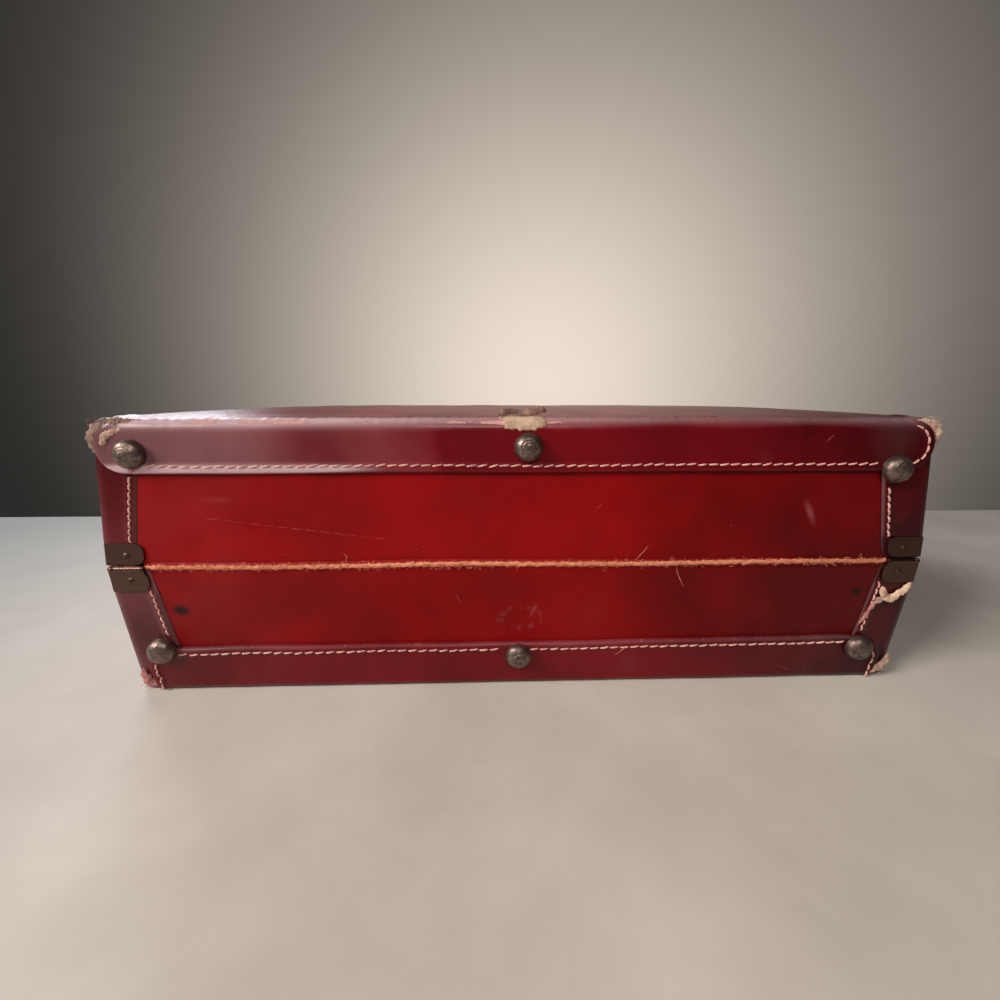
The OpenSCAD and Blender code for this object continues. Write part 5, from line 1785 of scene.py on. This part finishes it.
    def corners(self) -> None:
        """Builds the torn leather of the four corners."""
        f = self.finishes
        tears = (
            ("lid_left_corner_tear", Half.LID, -1, f.brown, (2.9, 0.5, 1.2), (
                (4.6, 18, -1.6, 0.3), (4.2, 13.4, -1.7, 0.9), (5.0, 8.8, -1.6, 1.15), (7.6, 5.6, -1.2, 1.2),
                (12, 3.8, -0.5, 1.0), (17.5, 2.6, 0.3, 0.85), (23.5, 1.9, 0.9, 0.55), (28, 1.5, 1.3, 0.2))),
            ("lid_left_corner_scrap", Half.LID, -1, f.tan, (2.2, 0.45, 1.0), (
                (7.8, 15.5, -2.0, 0.4), (8.6, 12, -2.2, 1.0), (11, 8.8, -2.1, 1.1), (15.5, 6.4, -1.7, 0.9),
                (20.5, 4.8, -1.0, 0.6), (24.5, 3.6, -0.4, 0.25))),
            ("lid_left_corner_core", Half.LID, -1, f.pink, (1.5, 0.5, 0.7), (
                (3.4, 10.5, -2.0, 0.5), (5.6, 7.4, -2.2, 1.0), (9.4, 5.4, -1.9, 0.6))),
            ("lid_right_corner_tear", Half.LID, 1, f.tan, (2.0, 0.5, 1.0), (
                (17, 2.2, 1.0, 0.4), (11.5, 2.2, 0.2, 0.9), (6.4, 3.4, -0.6, 1.1), (3.2, 6.0, -1.0, 1.1),
                (2.2, 9.6, -1.2, 0.8), (2.4, 13.5, -0.8, 0.35))),
            ("base_left_corner_tear", Half.BASE, -1, f.pink, (2.1, 0.45, 0.95), (
                (6.4, 15, -1.8, 0.4), (6.4, 10.5, -1.9, 1.0), (8.8, 6.0, -1.9, 1.15), (14, 4.0, -1.8, 0.5))),
            ("base_right_corner_tear", Half.BASE, 1, f.tan, (2.0, 0.45, 1.0), (
                (4.0, 16, -1.6, 0.4), (4.8, 11, -1.9, 0.9), (8.2, 7.4, -2.0, 1.2), (13, 5.6, -2.0, 1.0),
                (17.5, 4.2, -1.6, 0.3))),
        )
        for name, half, side, finish, sizes, rows in tears:
            self.roll(name, half, finish, sizes, self.by_corner(half, side, rows), rows)

    def scraps(self) -> None:
        """Builds the lid's torn tab and the tattered flap below the right hinge."""
        f = self.finishes
        tab = place(Half.LID, Wall.HINGE, -200 * MM, 51.4 * MM, CASE.skin + 1.6 * MM)
        self.curl("lid_left_tab_tear", f.pink, (1.3, 0.55, 0.6), tab, (
            (-4.6, 0, 1.0, 0.5), (-1, -0.3, 0.2, 1.1), (3.8, 0, -0.8, 0.6)))
        flap = (
            ("torn_scrap", f.core, (1.9, 0.5, 0.8), (
                (202.6, 15.6, 1.8, 0.8), (203.4, 18.6, 2.2, 1.2), (205.4, 21.8, 1.8, 1.0),
                (209.2, 23.0, 2.0, 1.2), (213.4, 20.8, 1.5, 0.9), (216.8, 17.8, 1.3, 1.1),
                (219.8, 13.8, 0.9, 0.9))),
            ("torn_scrap_lobe", f.tan, (1.5, 0.55, 0.6), (
                (205.4, 23.2, 1.4, 0.6), (202.6, 24.2, 1.6, 1.1), (200.6, 26.4, 1.2, 0.6))),
            ("torn_flap_edge", f.pink, (1.1, 0.6, 0.45), (
                (203.2, 22.5, 1.0, 0.8), (201.2, 26.5, 1.2, 1.1), (199.5, 31.0, 0.9, 0.8),
                (197.6, 35.5, 0.9, 0.9), (195.4, 40.6, 0.8, 0.5))),
        )
        for name, finish, sizes, rows in flap:
            a, v, w, _ = np.array(rows).T * MM
            self.roll(name, Half.BASE, finish, sizes, place(Half.BASE, Wall.HINGE, a, v, CASE.skin + w), rows)

    def tufts(self) -> None:
        """Builds the frayed fibres that stand off the torn corners of the hinge side."""
        rng = np.random.default_rng(5)
        spots = (
            (Half.LID, -1, 60, 0.6, self.finishes.brown), (Half.LID, 1, 40, 0.5, self.finishes.tan),
            (Half.BASE, -1, 24, 0.35, self.finishes.pink), (Half.BASE, 1, 30, 0.4, self.finishes.pink),
        )
        for half, side, count, size, finish in spots:
            runs = []
            for _ in range(count):
                spot = (rng.uniform(1, 13), abs(rng.normal(3, 3.0)), rng.uniform(0, 2))
                root = self.by_corner(half, side, [spot])[0]
                way = rng.normal(0, 1, 3) + np.array([0.6 * side, -0.9, 0.5 * half.value])
                length = rng.uniform(1.6, 4.6) * MM * size
                end = root + way / np.linalg.norm(way) * length
                run = np.array([root, (root + end) / 2 + rng.normal(0, 0.25, 3) * length, end])
                run[:, 2] = np.maximum(run[:, 2], 0.3 * MM)
                runs.append(run)
            name = f"{half.body}_{'left' if side < 0 else 'right'}_corner_fray"
            finish_piece(make_mesh(name, *thin_tubes(runs, self.fray)), finish, half.body)

    def threads(self) -> None:
        """Builds loose hairs of thread that end on the leather, from places in mm on the wall."""
        hairs = {
            Half.LID: (
                ((61, 1.5), (62.5, 4), (65, 6.6), (67, 9.6)), ((-97, 2), (-96, 5), (-98, 7.5)),
            ),
            Half.BASE: (
                ((83.5, 2), (84.4, 6), (86.6, 10.5), (89.5, 15.6)),
                ((53, 57), (58, 53), (63, 49.5), (68, 48)),
            ),
        }
        for half, routes in hairs.items():
            runs = []
            for route in routes:
                a, v = np.array(route).T * MM
                level = CASE.wrap_out + 0.35 * MM if v[0] > 45 * MM else CASE.skin + 0.3 * MM
                runs.append(place(half, Wall.HINGE, a, v, level))
            piece = make_mesh(f"{half.body}_loose_threads", *thin_tubes(runs, self.hair))
            finish_piece(piece, self.finishes.raw, half.body)

    def scratches(self) -> None:
        """Builds shallow scratches as hair-thin slivers of pale leather, from places in mm on the wall."""
        marks = {
            Half.LID: (
                ((-168, 26.5), (-74, 14.2)), ((-12, 34), (-8, 36)), ((38, 30), (41, 33)),
                ((112, 20), (113, 21)), ((158, 65), (163, 70)), ((-60, 8), (-58, 9)), ((-130, 6), (-127, 7)),
            ),
            Half.BASE: (((-38, 18), (-36, 24)), ((40, 31), (41, 32)), ((150, 66), (160, 70))),
        }
        for half, lines in marks.items():
            runs = []
            rng = np.random.default_rng(9)
            for start, end in np.array(lines, float):
                count = max(1, int(math.hypot(*(end - start)) / 7))
                level = (CASE.wrap_out if start[1] > 50 else CASE.skin) - 0.02 * MM
                for k in range(count):
                    share = np.linspace(k / count, (k + rng.uniform(0.8, 1.0)) / count, 6)
                    a = (start[0] + (end[0] - start[0]) * share + rng.normal(0, 0.05, 6)) * MM
                    v = (start[1] + (end[1] - start[1]) * share + rng.normal(0, 0.06, 6)) * MM
                    runs.append(place(half, Wall.HINGE, a, v, level))
            piece = make_mesh(f"{half.body}_scratches", *thin_tubes(runs, self.scratch))
            finish_piece(piece, self.finishes.scratch, half.body)

    def build(self) -> None:
        """Builds every scar."""
        self.patch()
        self.corners()
        self.scraps()
        self.tufts()
        self.threads()
        self.scratches()


@dataclass(frozen=True)
class Inside:
    """The boards and the lining, which show when the lid is open."""

    finishes: Finishes

    def build(self) -> None:
        """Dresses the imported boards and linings, whose shapes are right as they are."""
        for half in Half:
            finish_piece(frame["nodes"][f"{half.body}_lining"], self.finishes.cloth)
            finish_piece(frame["nodes"][f"{half.body}_carcass"], self.finishes.board)


@dataclass(frozen=True)
class Studio:
    """Pale floor, soft light and the camera at the photograph's angle."""

    camera_place: Three = (-20.2 * MM, -358.6 * MM, 155.3 * MM)
    bright_way: Three = (0.13, 0.98, 0.08)
    middle: Three = (0.0, 0.0, 0.08)
    pitch: float = 11.96
    yaw: float = 1.72
    focal_share: float = 0.4005
    table_back: float = 268 * MM

    def light(
        self, name: str, watts: float, colour: str, size: tuple[float, float], where: Three, aim: Three
    ) -> None:
        """Adds a soft rectangular lamp.

        Args:
            name: Name of the lamp.
            watts: Its power.
            colour: Its colour as an sRGB hex code.
            size: Its width and height.
            where: Three of its middle.
            aim: Point that it looks at.
        """
        data = bpy.data.lights.new(name, "AREA")
        data.shape = "RECTANGLE"
        data.size, data.size_y = size
        data.energy = watts
        data.color = linear(colour)[:3]
        lamp = bpy.data.objects.new(name, data)
        lamp.location = where
        lamp.rotation_euler = (Vector(aim) - Vector(where)).to_track_quat("-Z", "Y").to_euler()
        bpy.context.scene.collection.objects.link(lamp)

    def floor(self) -> None:
        """Adds the plain pale table, whose far edge shows behind the case."""
        points = np.array([[x, y, 0.0] for y in (-4, self.table_back) for x in (-4, 4)])
        floor = make_mesh("studio_floor", points, [(0, 1, 3, 2)])
        floor.data.materials.append(self.floor_material())

    def floor_material(self) -> bpy.types.Material:
        """Satin painted board with faint clouds, and painted shade that makes it greyer towards the left.

        Returns:
            The material.
        """
        material = bpy.data.materials.new("satin_pale_table")
        material.use_nodes = True
        t = material.node_tree
        t.nodes.clear()
        spot = add(t, "TexCoord").outputs["Object"]
        cloud = add(t, "TexNoise", Vector=spot, Scale=7.0, Detail=7.0, Roughness=0.6)
        share = add(t, "MapRange", Value=cloud, n1=0.35, n2=0.65)
        colour = add(t, "Mix", OF_COLOUR, n0=share, n6=linear("c2bcb5"), n7=linear("d5d0c9"))
        across = add(t, "SeparateXYZ", Vector=spot)
        # Painted shade: the table turns greyer towards the left.
        unshaded_share = add(t, "MapRange", SOFTLY, Value=across, n1=-0.75, n2=-0.08)
        colour = add(t, "Mix", OF_COLOUR, n0=unshaded_share, n6=linear("868a89"), n7=colour)
        add(t, "OutputMaterial", Surface=add(t, "BsdfPrincipled", Base_Color=colour, Roughness=0.62))
        return material

    def world(self) -> None:
        """Sets a soft even sky, shown to the camera as a warm wall that is lighter in its middle."""
        world = bpy.data.worlds.new("studio")
        bpy.context.scene.world = world
        world.use_nodes = True
        t = world.node_tree
        t.nodes.clear()
        path = add(t, "LightPath")
        way = add(t, "TexCoord").outputs["Generated"]
        centre = add(t, "VectorMath", {"operation": "DISTANCE"}, n0=way, n1=self.bright_way)
        share = add(t, "MapRange", SOFTLY, Value=centre.outputs["Value"], n1=0.0, n2=0.98)
        wall = add(t, "Mix", OF_COLOUR, n0=share, n6=linear("eddfd0"), n7=linear("2c2b29"))
        seen = path.outputs["Is Camera Ray"]
        for ray in ("Is Transmission Ray", "Is Glossy Ray"):
            seen = add(t, "Math", LARGER, n0=seen, n1=path.outputs[ray])
        sky = add(t, "Background", Color=linear("dcdde0"), Strength=0.07)
        shown = add(t, "Background", Color=wall, Strength=1.0)
        add(t, "OutputWorld", Surface=add(t, "MixShader", n0=seen, n1=sky, n2=shown))

    def camera(self) -> None:
        """Adds the camera."""
        data = bpy.data.cameras.new("photo_camera")
        data.sensor_width = 36.0
        data.lens = self.focal_share * data.sensor_width
        data.clip_start = 0.01
        camera = bpy.data.objects.new("photo_camera", data)
        camera.location = self.camera_place
        camera.rotation_euler = (math.radians(90 - self.pitch), 0.0, math.radians(-self.yaw))
        bpy.context.scene.collection.objects.link(camera)
        bpy.context.scene.camera = camera

    def build(self) -> None:
        """Builds the studio."""
        self.camera()
        self.floor()
        self.world()
        self.light("left_softbox", 50.0, "fff6ee", (0.75, 0.75), (-1.75, -0.95, 1.28), self.middle)
        self.light("front_softbox", 5.2, "fff4e8", (0.45, 0.3), (0.0, -1.0, 0.95), (0.0, -0.35, 0.0))
        self.light("back_softbox", 4.6, "f2f5fd", (0.42, 0.34), (-0.88, 0.62, 0.66), (-0.16, -0.14, 0.15))
        bpy.context.scene.view_settings.view_transform = "Standard"


def main() -> None:
    """Builds the studio and every piece of the case in order."""
    logging.basicConfig(level=logging.INFO, format="%(message)s")
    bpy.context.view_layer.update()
    Studio().build()
    finishes = Finishes()
    for half in Half:
        face = FaceHide(half, finishes)
        face.build()
        Seamstress(half, finishes, face).build()
        for side in (-1, 1):
            EndHide(half, side, finishes).build()
        Studs(half, finishes).build()
    HingeHide(finishes).build()
    Hardware(finishes).build()
    Grip(finishes).build()
    Scars(finishes).build()
    Inside(finishes).build()


if __name__ == "__main__":
    main()
